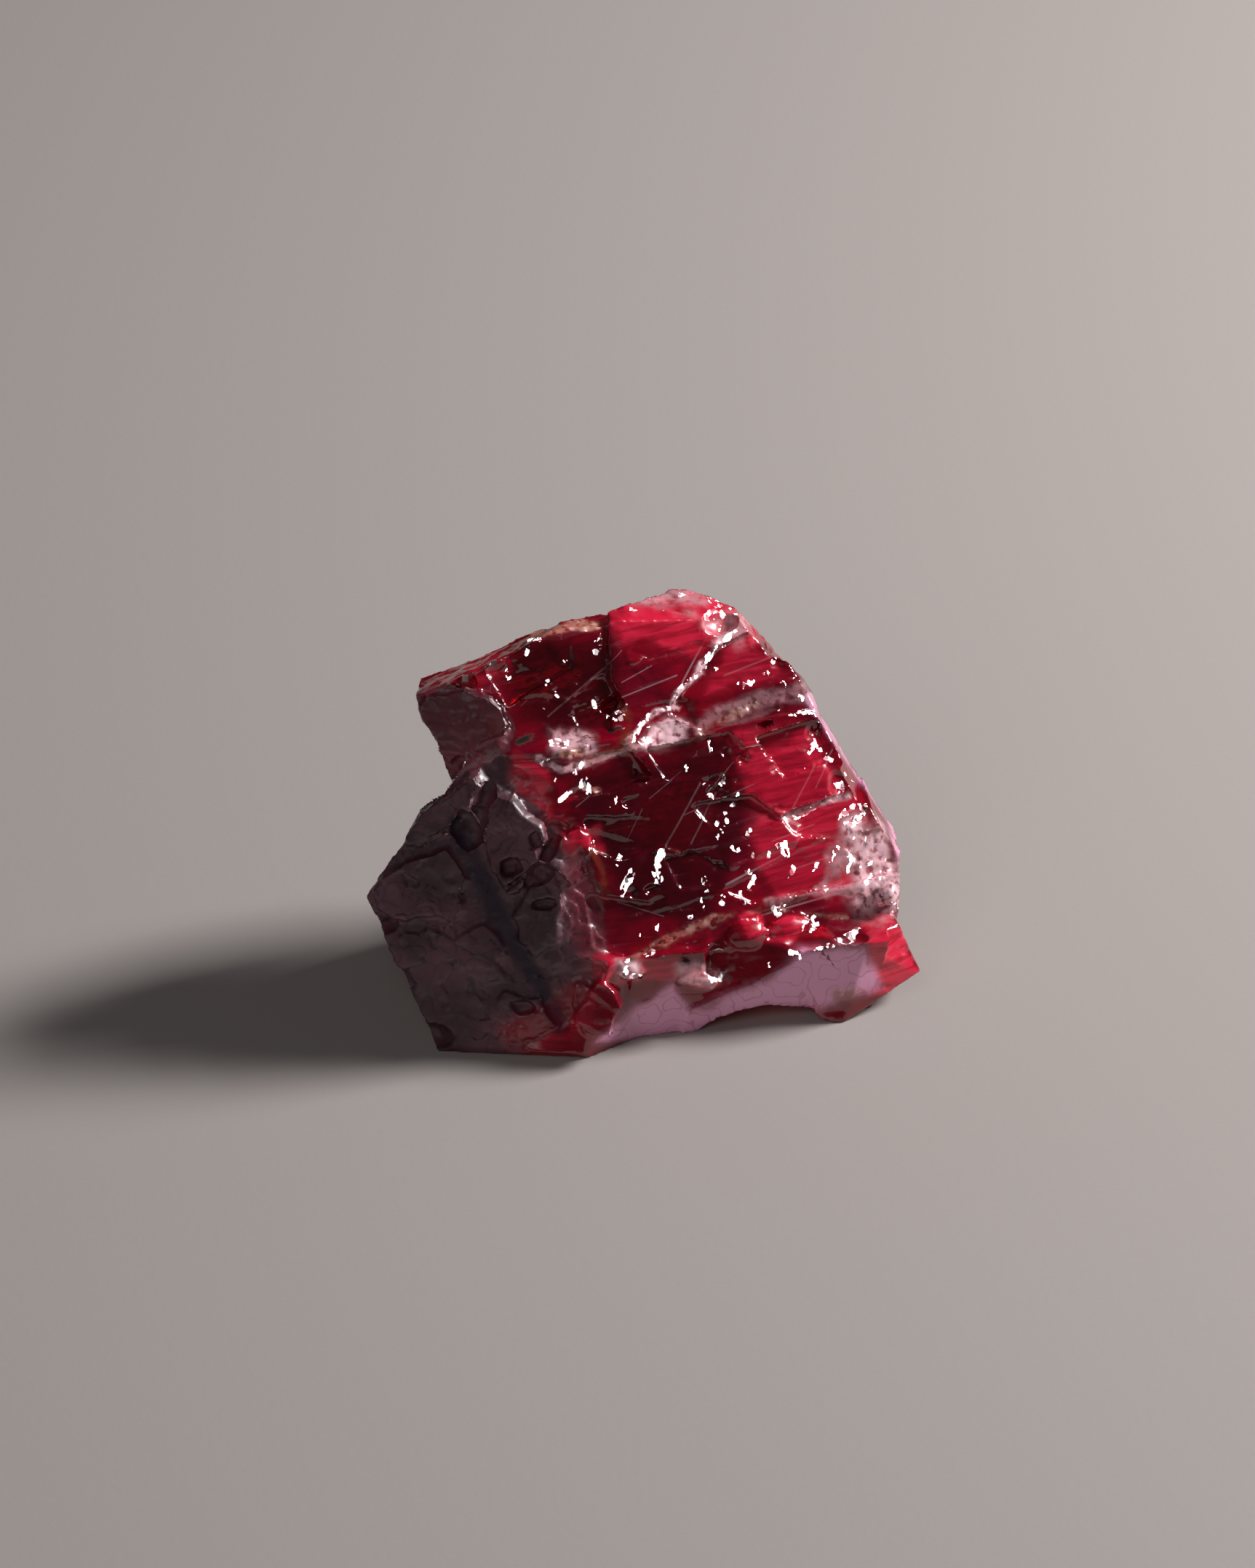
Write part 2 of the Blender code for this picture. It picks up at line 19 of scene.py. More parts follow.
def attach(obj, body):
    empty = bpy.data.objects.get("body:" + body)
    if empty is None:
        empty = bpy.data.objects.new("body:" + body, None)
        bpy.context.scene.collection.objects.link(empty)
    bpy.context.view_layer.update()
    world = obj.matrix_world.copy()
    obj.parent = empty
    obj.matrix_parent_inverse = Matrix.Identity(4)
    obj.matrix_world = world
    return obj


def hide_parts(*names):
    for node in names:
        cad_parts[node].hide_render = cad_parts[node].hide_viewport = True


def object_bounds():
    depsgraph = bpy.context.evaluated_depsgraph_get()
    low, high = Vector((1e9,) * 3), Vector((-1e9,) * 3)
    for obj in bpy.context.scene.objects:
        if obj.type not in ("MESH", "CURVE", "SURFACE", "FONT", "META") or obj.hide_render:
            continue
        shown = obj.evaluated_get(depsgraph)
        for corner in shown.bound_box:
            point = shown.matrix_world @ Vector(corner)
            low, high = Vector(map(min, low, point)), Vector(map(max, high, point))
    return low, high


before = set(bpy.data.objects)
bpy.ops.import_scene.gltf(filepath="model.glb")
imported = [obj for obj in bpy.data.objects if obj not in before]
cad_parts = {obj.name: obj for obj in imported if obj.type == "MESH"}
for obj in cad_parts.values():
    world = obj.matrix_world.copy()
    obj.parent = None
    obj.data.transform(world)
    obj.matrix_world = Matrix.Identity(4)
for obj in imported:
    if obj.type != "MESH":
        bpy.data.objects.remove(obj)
CAD_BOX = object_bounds()

LOG = logging.getLogger("ruby")
NODE = "ruby_crystal"
BODY = "root"
MM = 0.001
# Odd factors that spread whole numbers over 32 bits, and the mask that keeps those bits.
MIXERS = (374761393, 668265263, 1103515245, 1274126177)
MASK_32 = 0xFFFFFFFF
GLINT_LAYER = "glint"
RIM_LAYER = "rim"
# The direction from the stone to the main light.
TO_LIGHT = (0.788, 0.287, 0.545)

# Fine scratches on the broken faces: two ends, and how far each reaches to its sides.
SCRATCHES = (
    ((2.2, -1.0, 8.9), (0.8, -2.9, 7.1), 0.05),
    ((2.9, -1.0, 8.5), (1.8, -2.5, 7.0), 0.04),
    ((6.8, 0.9, 8.6), (5.8, -0.5, 7.2), 0.05),
    ((3.5, -0.1, 9.3), (2.5, -1.1, 8.5), 0.03),
    ((7.5, 1.5, 8.9), (6.8, 0.4, 7.8), 0.04),
    ((3.2, -3.0, 5.4), (5.5, -1.6, 5.9), 0.06),
    ((5.5, -0.8, 7.0), (7.9, 0.5, 7.3), 0.08),
    ((1.5, -2.0, 8.0), (4.3, -0.3, 8.4), 0.03),
    ((5.8, -1.8, 5.3), (8.2, -0.6, 5.5), 0.05),
    ((0.2, -2.0, 8.8), (1.5, -0.9, 9.4), 0.03),
    ((4.1, -3.5, 4.1), (8.0, -1.6, 4.2), 0.05),
    ((-2.7, -3.1, 9.1), (-1.0, -1.8, 9.9), 0.03),
    ((-1.0, -4.7, 5.7), (0.8, -4.5, 4.9), 0.04),
    ((5.0, -1.4, 6.4), (6.8, -0.4, 6.6), 0.04),
    ((-0.1, -2.3, 8.5), (-0.7, -3.3, 7.5), 0.03),
    ((2.6, 3.6, 13.3), (1.4, 1.8, 11.8), 0.05),
    ((-1.6, 1.2, 12.9), (-3.8, -0.7, 11.8), 0.05),
    ((-1.0, 1.8, 13.3), (-2.4, 0.4, 12.4), 0.03),
    ((1.2, 1.9, 12.1), (-1.0, 0.7, 11.8), 0.04),
    ((0.8, 3.0, 13.7), (2.6, 3.8, 13.6), 0.04),
    ((3.2, 2.6, 11.7), (5.2, 3.8, 11.9), 0.05),
    ((-1.0, 1.0, 12.3), (0.2, 1.8, 12.6), 0.03),
)

# Small flat facets that mirror the main light: a half width, and the view points that each runs through.
GLINTS = (
    (0.14, (1.36, -2.69), (1.11, -3.44), (1.27, -3.78)), (0.09, (1.3, -3.78), (0.99, -4.12)),
    (0.09, (-0.22, -2.76), (-0.37, -3.13)), (0.12, (0.15, -3.47), (0.0, -3.87), (-0.15, -4.15)),
    (0.06, (-0.12, -4.09), (-0.25, -4.43)), (0.08, (-1.33, -2.32), (-1.46, -2.57)),
    (0.07, (-0.43, -0.46), (-0.62, -0.96)), (0.06, (4.46, -0.37), (4.24, -0.59)),
    (0.06, (4.27, -0.74), (4.12, -0.9)), (0.06, (3.87, -1.15), (3.96, -1.58)),
    (0.06, (3.53, -1.52), (3.59, -1.8)), (0.09, (3.78, -1.73), (3.65, -2.2)),
    (0.11, (3.59, -2.04), (3.81, -2.11)), (0.06, (4.8, -1.8), (4.71, -2.07)),
    (0.08, (4.02, -2.32), (4.15, -2.54)), (0.07, (4.21, -2.6), (4.27, -2.63)),
    (0.06, (4.8, -2.29), (4.43, -2.57)), (0.06, (3.78, -0.03), (3.31, -0.25)),
    (0.07, (4.98, -2.76), (4.89, -2.85)), (0.08, (5.57, -2.72), (5.54, -2.82)),
    (0.12, (5.94, -2.51), (6.19, -2.35), (6.25, -2.79)), (0.12, (6.16, -2.48), (6.16, -2.72)),
    (0.09, (8.2, -0.03), (8.45, -0.19), (8.33, -0.37)), (0.08, (7.77, -0.56), (7.74, -0.68)),
    (0.06, (6.56, -1.42), (7.55, -0.8)), (0.08, (8.54, -1.18), (8.79, -0.84)),
    (0.09, (8.85, -0.87), (9.38, -0.9)), (0.11, (9.32, -0.96), (9.13, -1.33)),
    (0.11, (9.04, -1.24), (8.89, -1.64)), (0.07, (8.64, -1.58), (8.98, -1.64)),
    (0.06, (8.33, -1.27), (8.36, -1.46)), (0.09, (8.85, -2.26), (9.29, -2.01), (9.41, -2.14)),
    (0.08, (9.07, -2.17), (9.32, -2.2)), (0.08, (8.3, -2.51), (8.02, -2.85), (7.96, -3.1)),
    (0.09, (8.79, -2.82), (8.98, -3.19), (8.58, -3.34)), (0.08, (9.04, -2.91), (9.2, -3.31)),
    (0.09, (8.58, -3.47), (8.95, -3.37)), (0.07, (8.64, -2.72), (8.45, -2.97)),
    (0.07, (6.56, -3.28), (6.35, -3.75)), (0.06, (7.46, -3.13), (7.34, -3.41)),
    (0.13, (7.71, -4.12), (7.77, -4.15)), (0.09, (5.02, -3.68), (4.86, -4.09)),
    (0.09, (4.74, -3.41), (4.83, -3.5)), (0.06, (3.03, -3.68), (3.0, -3.9)),
    (0.06, (3.1, -4.24), (2.94, -4.61)), (0.08, (3.78, -4.43), (3.72, -4.71)),
    (0.06, (4.46, -4.3), (4.55, -4.49)), (0.06, (4.77, -4.61), (4.64, -4.71)),
    (0.07, (3.07, -4.89), (3.16, -4.92)), (0.07, (2.48, -5.17), (2.48, -5.26)),
    (0.07, (1.18, -5.54), (1.21, -5.88)), (0.07, (0.59, -5.91), (0.56, -6.13)),
    (0.06, (0.99, -5.98), (0.99, -6.07)), (0.1, (5.79, -4.92), (6.25, -4.77), (5.91, -5.14)),
    (0.08, (7.34, -5.29), (7.46, -5.51), (7.34, -5.67)), (0.06, (7.06, -5.51), (6.9, -5.76)),
    (0.07, (7.4, -6.56), (7.77, -6.38)), (0.08, (7.46, -6.66), (7.8, -6.66), (7.86, -6.9)),
    (0.07, (7.4, -6.87), (7.65, -7.06)), (0.06, (7.89, -6.38), (8.08, -6.38)),
    (0.07, (7.99, -7.15), (8.05, -7.18)), (0.08, (8.36, -6.22), (8.54, -6.04), (8.89, -5.94), (9.13, -5.7)),
    (0.07, (8.54, -6.25), (8.89, -6.16)), (0.07, (6.56, -6.75), (6.75, -6.63), (6.78, -6.9)),
    (0.06, (6.28, -6.69), (6.44, -6.63)), (0.06, (5.79, -7.09), (6.1, -6.93)),
    (0.07, (5.42, -7.21), (5.63, -7.12)), (0.12, (3.34, -7.62), (3.78, -7.4), (3.65, -7.8)),
    (0.07, (3.25, -7.77), (3.53, -7.74)), (0.07, (-0.09, -6.78), (0.0, -6.97)),
    (0.07, (0.0, -7.28), (-0.09, -7.52)), (0.07, (0.22, -7.59), (0.56, -7.62)),
    (0.06, (0.71, -6.78), (0.99, -6.63)), (0.06, (1.42, -6.78), (1.49, -7.0)),
    (0.06, (10.19, -3.03), (10.31, -2.91)), (0.06, (9.54, -3.19), (9.69, -3.07)),
    (0.06, (10.0, -3.41), (9.94, -3.84)), (0.06, (9.41, -3.9), (9.63, -3.59)),
    (0.06, (9.81, -4.18), (9.97, -4.43)), (0.07, (10.4, -4.67), (10.5, -4.74)),
    (0.07, (0.12, 7.09), (0.15, 6.87), (0.31, 6.78)), (0.06, (1.39, 6.78), (1.58, 6.87)),
    (0.09, (3.1, 6.69), (3.37, 6.81)), (0.07, (3.03, 6.56), (3.34, 6.5)), (0.09, (3.5, 7.15), (3.65, 6.9)),
    (0.07, (3.22, 7.34), (3.31, 7.21)), (0.09, (4.09, 7.03), (4.3, 6.66)),
    (0.07, (3.75, 6.69), (3.99, 6.32)), (0.07, (3.65, 6.16), (3.59, 6.01)),
    (0.08, (4.24, 6.01), (3.99, 5.82), (3.78, 5.48)), (0.08, (3.53, 5.45), (3.28, 5.08), (3.1, 4.89)),
    (0.07, (3.0, 4.61), (2.85, 4.33), (2.54, 4.21), (2.11, 3.81), (1.89, 3.47)),
    (0.09, (5.79, 4.89), (5.67, 4.55), (5.42, 4.27)), (0.09, (4.89, 4.06), (4.86, 3.99)),
    (0.09, (4.46, 3.93), (4.46, 3.84)), (0.06, (3.47, 4.55), (3.5, 4.46)),
    (0.1, (-0.84, 5.42), (-0.96, 5.26)), (0.09, (-1.08, 5.85), (-1.3, 5.63)),
    (0.07, (-1.3, 5.26), (-1.27, 5.17)), (0.06, (-0.71, 3.9), (-0.84, 3.62)),
    (0.07, (-1.21, 3.41), (-1.33, 3.25), (-1.27, 3.03)),
    (0.09, (-0.34, 3.19), (-0.43, 2.85), (-0.09, 2.57)), (0.12, (-0.71, 2.63), (-0.22, 2.66)),
    (0.12, (-0.4, 2.94), (-0.4, 2.72)), (0.07, (0.8, 2.72), (0.5, 2.26), (0.22, 1.64)),
    (0.08, (1.33, 3.1), (1.61, 2.97)), (0.08, (5.85, 3.07), (5.91, 2.97)),
    (0.09, (6.84, 2.82), (7.34, 2.88)), (0.06, (6.44, 2.72), (6.53, 2.72)),
    (0.12, (7.43, 2.35), (7.31, 1.98), (7.31, 1.67)), (0.09, (7.4, 1.49), (7.18, 1.15)),
    (0.06, (7.55, 1.36), (7.77, 1.3)), (0.08, (7.86, 0.99), (8.08, 0.9)),
    (0.07, (8.58, 0.37), (8.45, -0.12), (8.33, -0.31)), (0.06, (8.82, 0.09), (8.89, 0.03)),
    (0.06, (3.78, 0.34), (3.75, 0.06), (3.47, -0.19)), (0.06, (3.25, 1.73), (3.34, 1.21)),
    (0.07, (2.35, 0.65), (2.35, 0.53)), (0.08, (0.25, 0.53), (0.28, 0.43)),
    (0.07, (-3.87, 5.67), (-3.5, 5.7)), (0.06, (-3.9, 5.39), (-3.99, 5.14)),
    (0.09, (-4.74, 4.49), (-4.71, 4.21)), (0.07, (-3.16, 4.06), (-3.19, 3.96)),
    (0.06, (-2.76, 3.72), (-2.76, 3.5)), (0.08, (-3.37, 2.91), (-3.41, 2.66)),
    (0.06, (-2.41, 4.95), (-2.45, 4.86)), (0.07, (-3.03, 1.7), (-3.0, 1.55)),
    (0.07, (-2.72, 1.7), (-2.66, 1.49)), (0.07, (-2.41, 1.67), (-2.41, 1.49)),
    (0.09, (-1.76, 0.84), (-1.95, 0.56)), (0.09, (-3.34, 0.8), (-2.97, 0.9)),
    (0.08, (-2.26, 0.34), (-2.2, 0.31)), (0.07, (-1.21, 0.53), (-1.39, 0.34)),
    (0.06, (-1.76, 0.19), (-1.83, -0.09)), (0.06, (-1.49, 0.0), (-1.55, -0.34)),
    (0.06, (-2.26, -0.34), (-2.66, -0.65)), (0.06, (-2.85, 0.19), (-2.85, 0.09)),
    (0.06, (-5.73, 5.57), (-5.7, 5.51)), (0.06, (2.07, 7.49), (2.23, 7.52)),
    (0.06, (6.81, 3.47), (6.93, 3.31)), (0.06, (6.1, 4.06), (6.19, 3.9)),
)

Colour = tuple[float, float, float, float]
Path = tuple[tuple[float, float], ...]
Socket = bpy.types.NodeSocket


class Mark(Enum):
    """What a place on the stone is marked as. The value names the mesh attribute that holds it."""

    GROWN = "grown"
    VEIN = "vein"
    MILKY = "milky"
    STAIN = "stain"
    # Painted light: bright crimson where light shines through the stone.
    GLOW = "painted_glow"
    # Painted shade: darker red where little light comes through the stone.
    PAINTED_SHADE = "painted_shade"
    # A dark stripe across the grown face: a painted dark reflection.
    PAINTED_DARK_REFLECTION = "band"
    SPECK = "speck"
    # The smooth lower bevel and right edge; its lilac is a painted reflection of the floor.
    SLEEK_PAINTED_SHEEN = "sleek_painted_sheen"


@dataclass(frozen=True)
class Streak:
    """A mark along a line of view points, with its half width, ragged edge and strength."""

    mark: Mark
    path: Path
    width: float
    ragged: float = 0.15
    strength: float = 1.0

    def amount(self, view: np.ndarray, wobble: np.ndarray) -> np.ndarray:
        """How strongly each view place carries the mark, with a noise value for each place."""
        gap = line_distance(view, self.path) + self.ragged * wobble
        return self.strength * (1.0 - ramp(gap, 0.5 * self.width, 1.2 * self.width))


@dataclass(frozen=True)
class Area:
    """A mark inside an outline of view points, with the width of its soft edge."""

    mark: Mark
    outline: Path
    edge: float = 0.15
    ragged: float = 0.25
    strength: float = 1.0

    def amount(self, view: np.ndarray, wobble: np.ndarray) -> np.ndarray:
        """How strongly each view place carries the mark, with a noise value for each place."""
        gap = area_distance(view, self.outline) + self.ragged * wobble
        return self.strength * ramp(-gap, -self.edge, self.edge)


@dataclass(frozen=True)
class Sight:
    """Where the camera stands, and the plane that it faces."""

    elevation: float = math.radians(32.0)
    distance: float = 257.97
    target: tuple[float, float, float] = (-0.71, -1.346, 9.057)
    lens: float = 150.0
    sensor: float = 36.0

    def axes(self) -> tuple[np.ndarray, np.ndarray, np.ndarray]:
        """Unit vectors to the camera's right, up and back towards it."""
        rise, run = math.sin(self.elevation), math.cos(self.elevation)
        return np.array([1.0, 0.0, 0.0]), np.array([0.0, rise, run]), np.array([0.0, -run, rise])

    def eye(self) -> np.ndarray:
        """The camera's place, in millimetres."""
        return np.array(self.target) + self.distance * self.axes()[2]

    def plane(self, points: np.ndarray) -> np.ndarray:
        """Where points appear in the plane that faces the camera.

        A point's offset from the eye, over its depth, times the target's distance.

        Args:
            points: places in millimetres, one a row.

        Returns:
            Across and up in millimetres, one a row.
        """
        right, up, back = self.axes()
        offset = points - self.eye()
        depth = -(offset @ back)
        return np.stack([offset @ right, offset @ up], -1) * (self.distance / depth)[:, None]


def ramp(value: np.ndarray, low: float, high: float) -> np.ndarray:
    """A smooth step: 0 below low, 1 above high, and 3t^2 - 2t^3 between."""
    t = np.clip((value - low) / (high - low), 0.0, 1.0)
    return t * t * (3.0 - 2.0 * t)


def cell_value(cells: np.ndarray, seed: int) -> np.ndarray:
    """A repeatable value between 0 and 1 for each whole-number cell, mixed from its three indices."""
    first, second, third, last = MIXERS
    mixed = (cells.astype(np.int64) @ np.array([first, second, third]) + seed * last) & MASK_32
    mixed = ((mixed ^ (mixed >> 13)) * last) & MASK_32
    mixed = ((mixed ^ (mixed >> 16)) * second) & MASK_32
    return ((mixed ^ (mixed >> 15)) & MASK_32) / MASK_32


def smooth_noise(points: np.ndarray, size: float, seed: int) -> np.ndarray:
    """Random values at the corners of a grid of that size, joined smoothly, from -1 to 1."""
    grid = points / size
    cell = np.floor(grid)
    part = grid - cell
    part = part * part * (3.0 - 2.0 * part)
    total = np.zeros(len(points))
    for corner in np.ndindex(2, 2, 2):
        step = np.array(corner)
        weight = np.prod(np.where(step == 1, part, 1.0 - part), axis=1)
        total += weight * cell_value(cell + step, seed)
    return total * 2.0 - 1.0


@dataclass(frozen=True)
class Noise:
    """Layered noise: the size of its broadest layer, its number of layers and its seed."""

    size: float
    layers: int
    seed: int

    def at(self, points: np.ndarray) -> np.ndarray:
        """Its value at each point. Each layer has half the size and strength of the one before."""
        total = np.zeros(len(points))
        for layer in range(self.layers):
            total += smooth_noise(points, self.size / 2**layer, self.seed + layer) / 2**layer
        return total / (2.0 - 2.0 ** (1 - self.layers))


@dataclass(frozen=True)
class Facets:
    """Small flat facets: the distance between their centres, their largest slope and a seed."""

    size: float
    tilt: float
    seed: int

    def height(self, points: np.ndarray) -> np.ndarray:
        """Their height at each point, each facet a randomly tilted plane round its own centre.

        A point belongs to the nearest of one jittered centre in each cell of a grid, and its height is
        its offset from that centre times the facet's own slope. The slope fades at the facet's border.

        Args:
            points: places in millimetres, one a row.

        Returns:
            A height in millimetres for each point.
        """
        cell = np.floor(points / self.size)
        nearest = np.full(len(points), np.inf)
        second = np.full(len(points), np.inf)
        height = np.zeros(len(points))
        for shift in np.ndindex(3, 3, 3):
            other = cell + np.array(shift) - 1.0
            spots = [cell_value(other, self.seed + k) for k in range(6)]
            offset = points - (other + np.stack(spots[:3], -1)) * self.size
            distance = np.linalg.norm(offset, axis=1)
            slope = np.stack(spots[3:], -1) * 2.0 - 1.0
            closer = distance < nearest
            second = np.where(closer, nearest, np.minimum(second, distance))
            height = np.where(closer, np.sum(offset * slope, axis=1) * self.tilt, height)
            nearest = np.where(closer, distance, nearest)
        return height * ramp(second - nearest, 0.0, 0.16 * self.size)


@dataclass(frozen=True)
class Ledges:
    """Level ledges: how far apart they lie, how deep they are and a seed."""

    pitch: float
    depth: float
    seed: int

    def height(self, points: np.ndarray) -> np.ndarray:
        """Their height at each point: it leans out as it rises, and drops back once in each pitch."""
        phase = points[:, 2] / self.pitch + 0.9 * Noise(3.1, 3, self.seed).at(points)
        rise = phase - np.floor(phase)
        return (np.minimum(rise, (1.0 - rise) * 5.0) - 0.4) * self.depth


@dataclass(frozen=True)
class Plates:
    """Growth plates: noise of a size, cut into steps that rise so far in all, and a seed."""

    size: float
    steps: int
    rise: float
    seed: int

    def level(self, points: np.ndarray) -> np.ndarray:
        """The step that each place is on, with a fraction that says how near the next one is."""
        return Noise(self.size, 4, self.seed).at(points) * self.steps

    def height(self, points: np.ndarray) -> np.ndarray:
        """Their height at each point: each step is flat and has a wavy rim."""
        level = self.level(points)
        whole = np.floor(level)
        return (whole + ramp(level - whole, 0.0, 0.12)) * self.rise / self.steps

    def rims(self, points: np.ndarray) -> np.ndarray:
        """How near each point is to the rim of a plate: 0 at the rim, 0.5 midway between two."""
        level = self.level(points)
        return np.abs(level - np.round(level))


def warped(points: np.ndarray) -> np.ndarray:
    """Points pushed about by noise in each direction, so that a pattern drawn on them bends."""
    return points + 0.5 * np.stack([Noise(1.1, 3, 101 + k).at(points) for k in range(3)], -1)


def line_distance(places: np.ndarray, path: Path) -> np.ndarray:
    """Distance of each view place from a line through view points."""
    nearest = np.full(len(places), np.inf)
    for start, end in zip(path[:-1], path[1:]):
        along = np.subtract(end, start)
        share = np.clip((places - start) @ along / (along @ along), 0.0, 1.0)
        nearest = np.minimum(nearest, np.linalg.norm(places - start - share[:, None] * along, axis=1))
    return nearest


def area_distance(places: np.ndarray, outline: Path) -> np.ndarray:
    """Distance of each view place from an outline, negative inside, by counting crossings."""
    closed = outline + outline[:1]
    inside = np.zeros(len(places), bool)
    for (x0, y0), (x1, y1) in zip(closed[:-1], closed[1:]):
        if y0 == y1:
            continue
        crosses = (places[:, 1] > y0) != (places[:, 1] > y1)
        inside ^= crosses & (places[:, 0] < (x1 - x0) * (places[:, 1] - y0) / (y1 - y0) + x0)
    return np.where(inside, -1.0, 1.0) * line_distance(places, closed)


def default_areas() -> tuple[Area, ...]:
    """The areas that the photographed side shows."""
    return (
        Area(Mark.GROWN, ((-4.95, 1.24), (-3.9, 0.1), (-2.6, -1.7), (-1.55, -2.79), (-0.77, -5.57),
                          (-0.9, -7.43), (-2.2, -9.3), (-4.95, -11.2), (-8.2, -11.2), (-11.2, -4.64),
                          (-9.29, -1.0), (-7.43, 0.2), (-6.19, 0.62))),
        Area(Mark.GROWN, ((-8.9, 3.56), (-7.43, 3.96), (-6.04, 3.78), (-4.95, 3.34), (-4.49, 2.17),
                          (-4.64, 1.24), (-6.19, 0.31), (-7.28, -0.4), (-8.7, 1.86)), strength=0.75),
        # Painted light: bright crimson areas where light shines through the stone.
        Area(Mark.GLOW, ((-4.6, 1.3), (-3.6, 0.9), (-3.1, 0.3), (-3.3, -0.4), (-2.4, -1.5),
                         (-3.2, -1.6), (-3.9, -0.6), (-4.7, 0.1)), edge=0.25, ragged=0.4),
        Area(Mark.GLOW, ((-2.7, -1.6), (-1.2, -1.6), (-1.0, -2.6), (-2.3, -2.9), (-3.0, -2.4)),
             edge=0.3, ragged=0.4, strength=0.8),
        Area(Mark.GLOW, ((-6.2, 4.9), (-5.0, 5.5), (-4.5, 4.7), (-5.0, 3.9), (-6.3, 4.0)), edge=0.3,
             strength=0.5),
        Area(Mark.GLOW, ((-2.48, -2.79), (-1.39, -3.0), (-0.5, -5.26), (-0.3, -7.43), (-1.9, -7.59),
                         (-2.3, -4.95)), edge=0.5, strength=0.35),
        Area(Mark.GLOW, ((-1.0, 6.9), (1.55, 8.2), (4.49, 7.9), (5.3, 5.4), (2.9, 5.1), (1.2, 5.5),
                         (-0.2, 5.6)), edge=0.3, ragged=0.5, strength=0.95),
        Area(Mark.GLOW, ((3.1, 4.2), (3.9, 5.3), (5.6, 5.1), (6.3, 4.2), (4.5, 3.8), (2.9, 3.3)),
             edge=0.25, ragged=0.4, strength=0.75),
        Area(Mark.GLOW, ((4.0, 1.9), (5.2, 2.4), (7.2, 2.3), (8.6, 0.2), (10.0, -1.8), (10.3, -4.4),
                         (6.0, -4.6), (4.9, -3.0), (4.75, -1.5), (4.6, 0.0)), edge=0.3, ragged=0.35,
             strength=0.8),
        Area(Mark.GLOW, ((4.2, -5.1), (4.7, -4.9), (5.4, -5.1), (5.5, -5.8), (4.8, -6.0), (4.3, -5.5)),
             edge=0.1),
        Area(Mark.GLOW, ((5.6, -5.5), (6.3, -5.1), (7.1, -5.2), (7.3, -5.9), (6.4, -6.3), (5.6, -6.1)),
             edge=0.15),
        Area(Mark.GLOW, ((2.0, -7.0), (3.9, -7.3), (3.6, -8.1), (2.2, -7.9)), edge=0.2, strength=0.9),
        Area(Mark.GLOW, ((9.2, -5.0), (10.4, -5.2), (11.8, -7.6), (10.4, -8.4), (8.7, -8.2),
                         (9.4, -6.8)), edge=0.2, ragged=0.4),
        Area(Mark.GLOW, ((-5.2, -9.6), (-3.3, -8.6), (-1.8, -7.5), (-0.6, -7.9), (-1.0, -9.9),
                         (-3.8, -10.9)), edge=0.5, ragged=0.6, strength=0.65),
        Area(Mark.GLOW, ((-1.6, -6.7), (0.2, -6.6), (2.1, -6.8), (2.0, -7.7), (0.2, -7.9),
                         (-1.4, -8.3)), edge=0.2, ragged=0.5, strength=0.85),
        Area(Mark.MILKY, ((8.76, -1.55), (9.91, -1.39), (10.9, -3.10), (10.9, -4.95), (9.29, -4.95),
                          (8.36, -3.41)), edge=0.5, ragged=0.8, strength=0.95),
        Area(Mark.MILKY, ((0.45, 1.45), (1.1, 1.3), (2.4, 1.75), (2.55, 2.5), (1.6, 2.7), (0.9, 2.3)),
             edge=0.2, strength=0.95),
        Area(Mark.MILKY, ((3.10, 6.3), (3.9, 7.1), (5.0, 6.5), (4.5, 5.7)), edge=0.4, ragged=0.5,
             strength=0.7),
        Area(Mark.MILKY, ((-0.46, 7.06), (1.55, 7.9), (4.0, 7.4), (3.1, 6.8), (1.2, 7.1)), edge=0.3,
             ragged=0.6, strength=0.6),
        Area(Mark.MILKY, ((1.9, -7.1), (2.8, -7.0), (3.9, -7.5), (3.3, -8.0), (2.1, -7.9)), edge=0.2,
             strength=0.7),
        Area(Mark.MILKY, ((-3.1, 2.2), (-1.6, 2.1), (-1.3, 1.3), (-2.9, 1.1)), edge=0.25, ragged=0.5,
             strength=0.8),
        Area(Mark.MILKY, ((-0.5, -6.9), (0.6, -6.9), (0.5, -7.7), (-0.3, -7.6)), edge=0.2, ragged=0.4),
        Area(Mark.VEIN, ((8.0, -8.1), (9.2, -7.9), (9.0, -8.6), (8.1, -8.7)), edge=0.2, ragged=0.4,
             strength=0.8),
        # The smooth lower bevel, whose lilac colour is a painted reflection of the floor.
        Area(Mark.SLEEK_PAINTED_SHEEN, ((2.51, -9.04), (4.5, -8.1), (5.64, -7.6), (6.8, -6.41), (9.4, -6.41),
                          (10.0, -8.0), (6.2, -9.6), (2.5, -10.2), (-1.2, -10.2), (0.3, -8.6),
                          (1.8, -7.9)), edge=0.3),
        # Painted shade: areas where the red is darkened because little light comes through.
        Area(Mark.PAINTED_SHADE, ((-4.3, 2.4), (-5.0, 5.2), (-3.2, 5.7), (-0.4, 5.6), (-0.4, 2.6), (-2.4, 2.0)),
             edge=0.6),
        Area(Mark.PAINTED_SHADE, ((-2.6, 0.4), (-1.2, -2.9), (0.2, -5.2), (3.2, -5.4), (4.7, -1.6), (4.1, 2.2),
                         (1.8, 1.0)), edge=0.5, strength=0.85),
    )


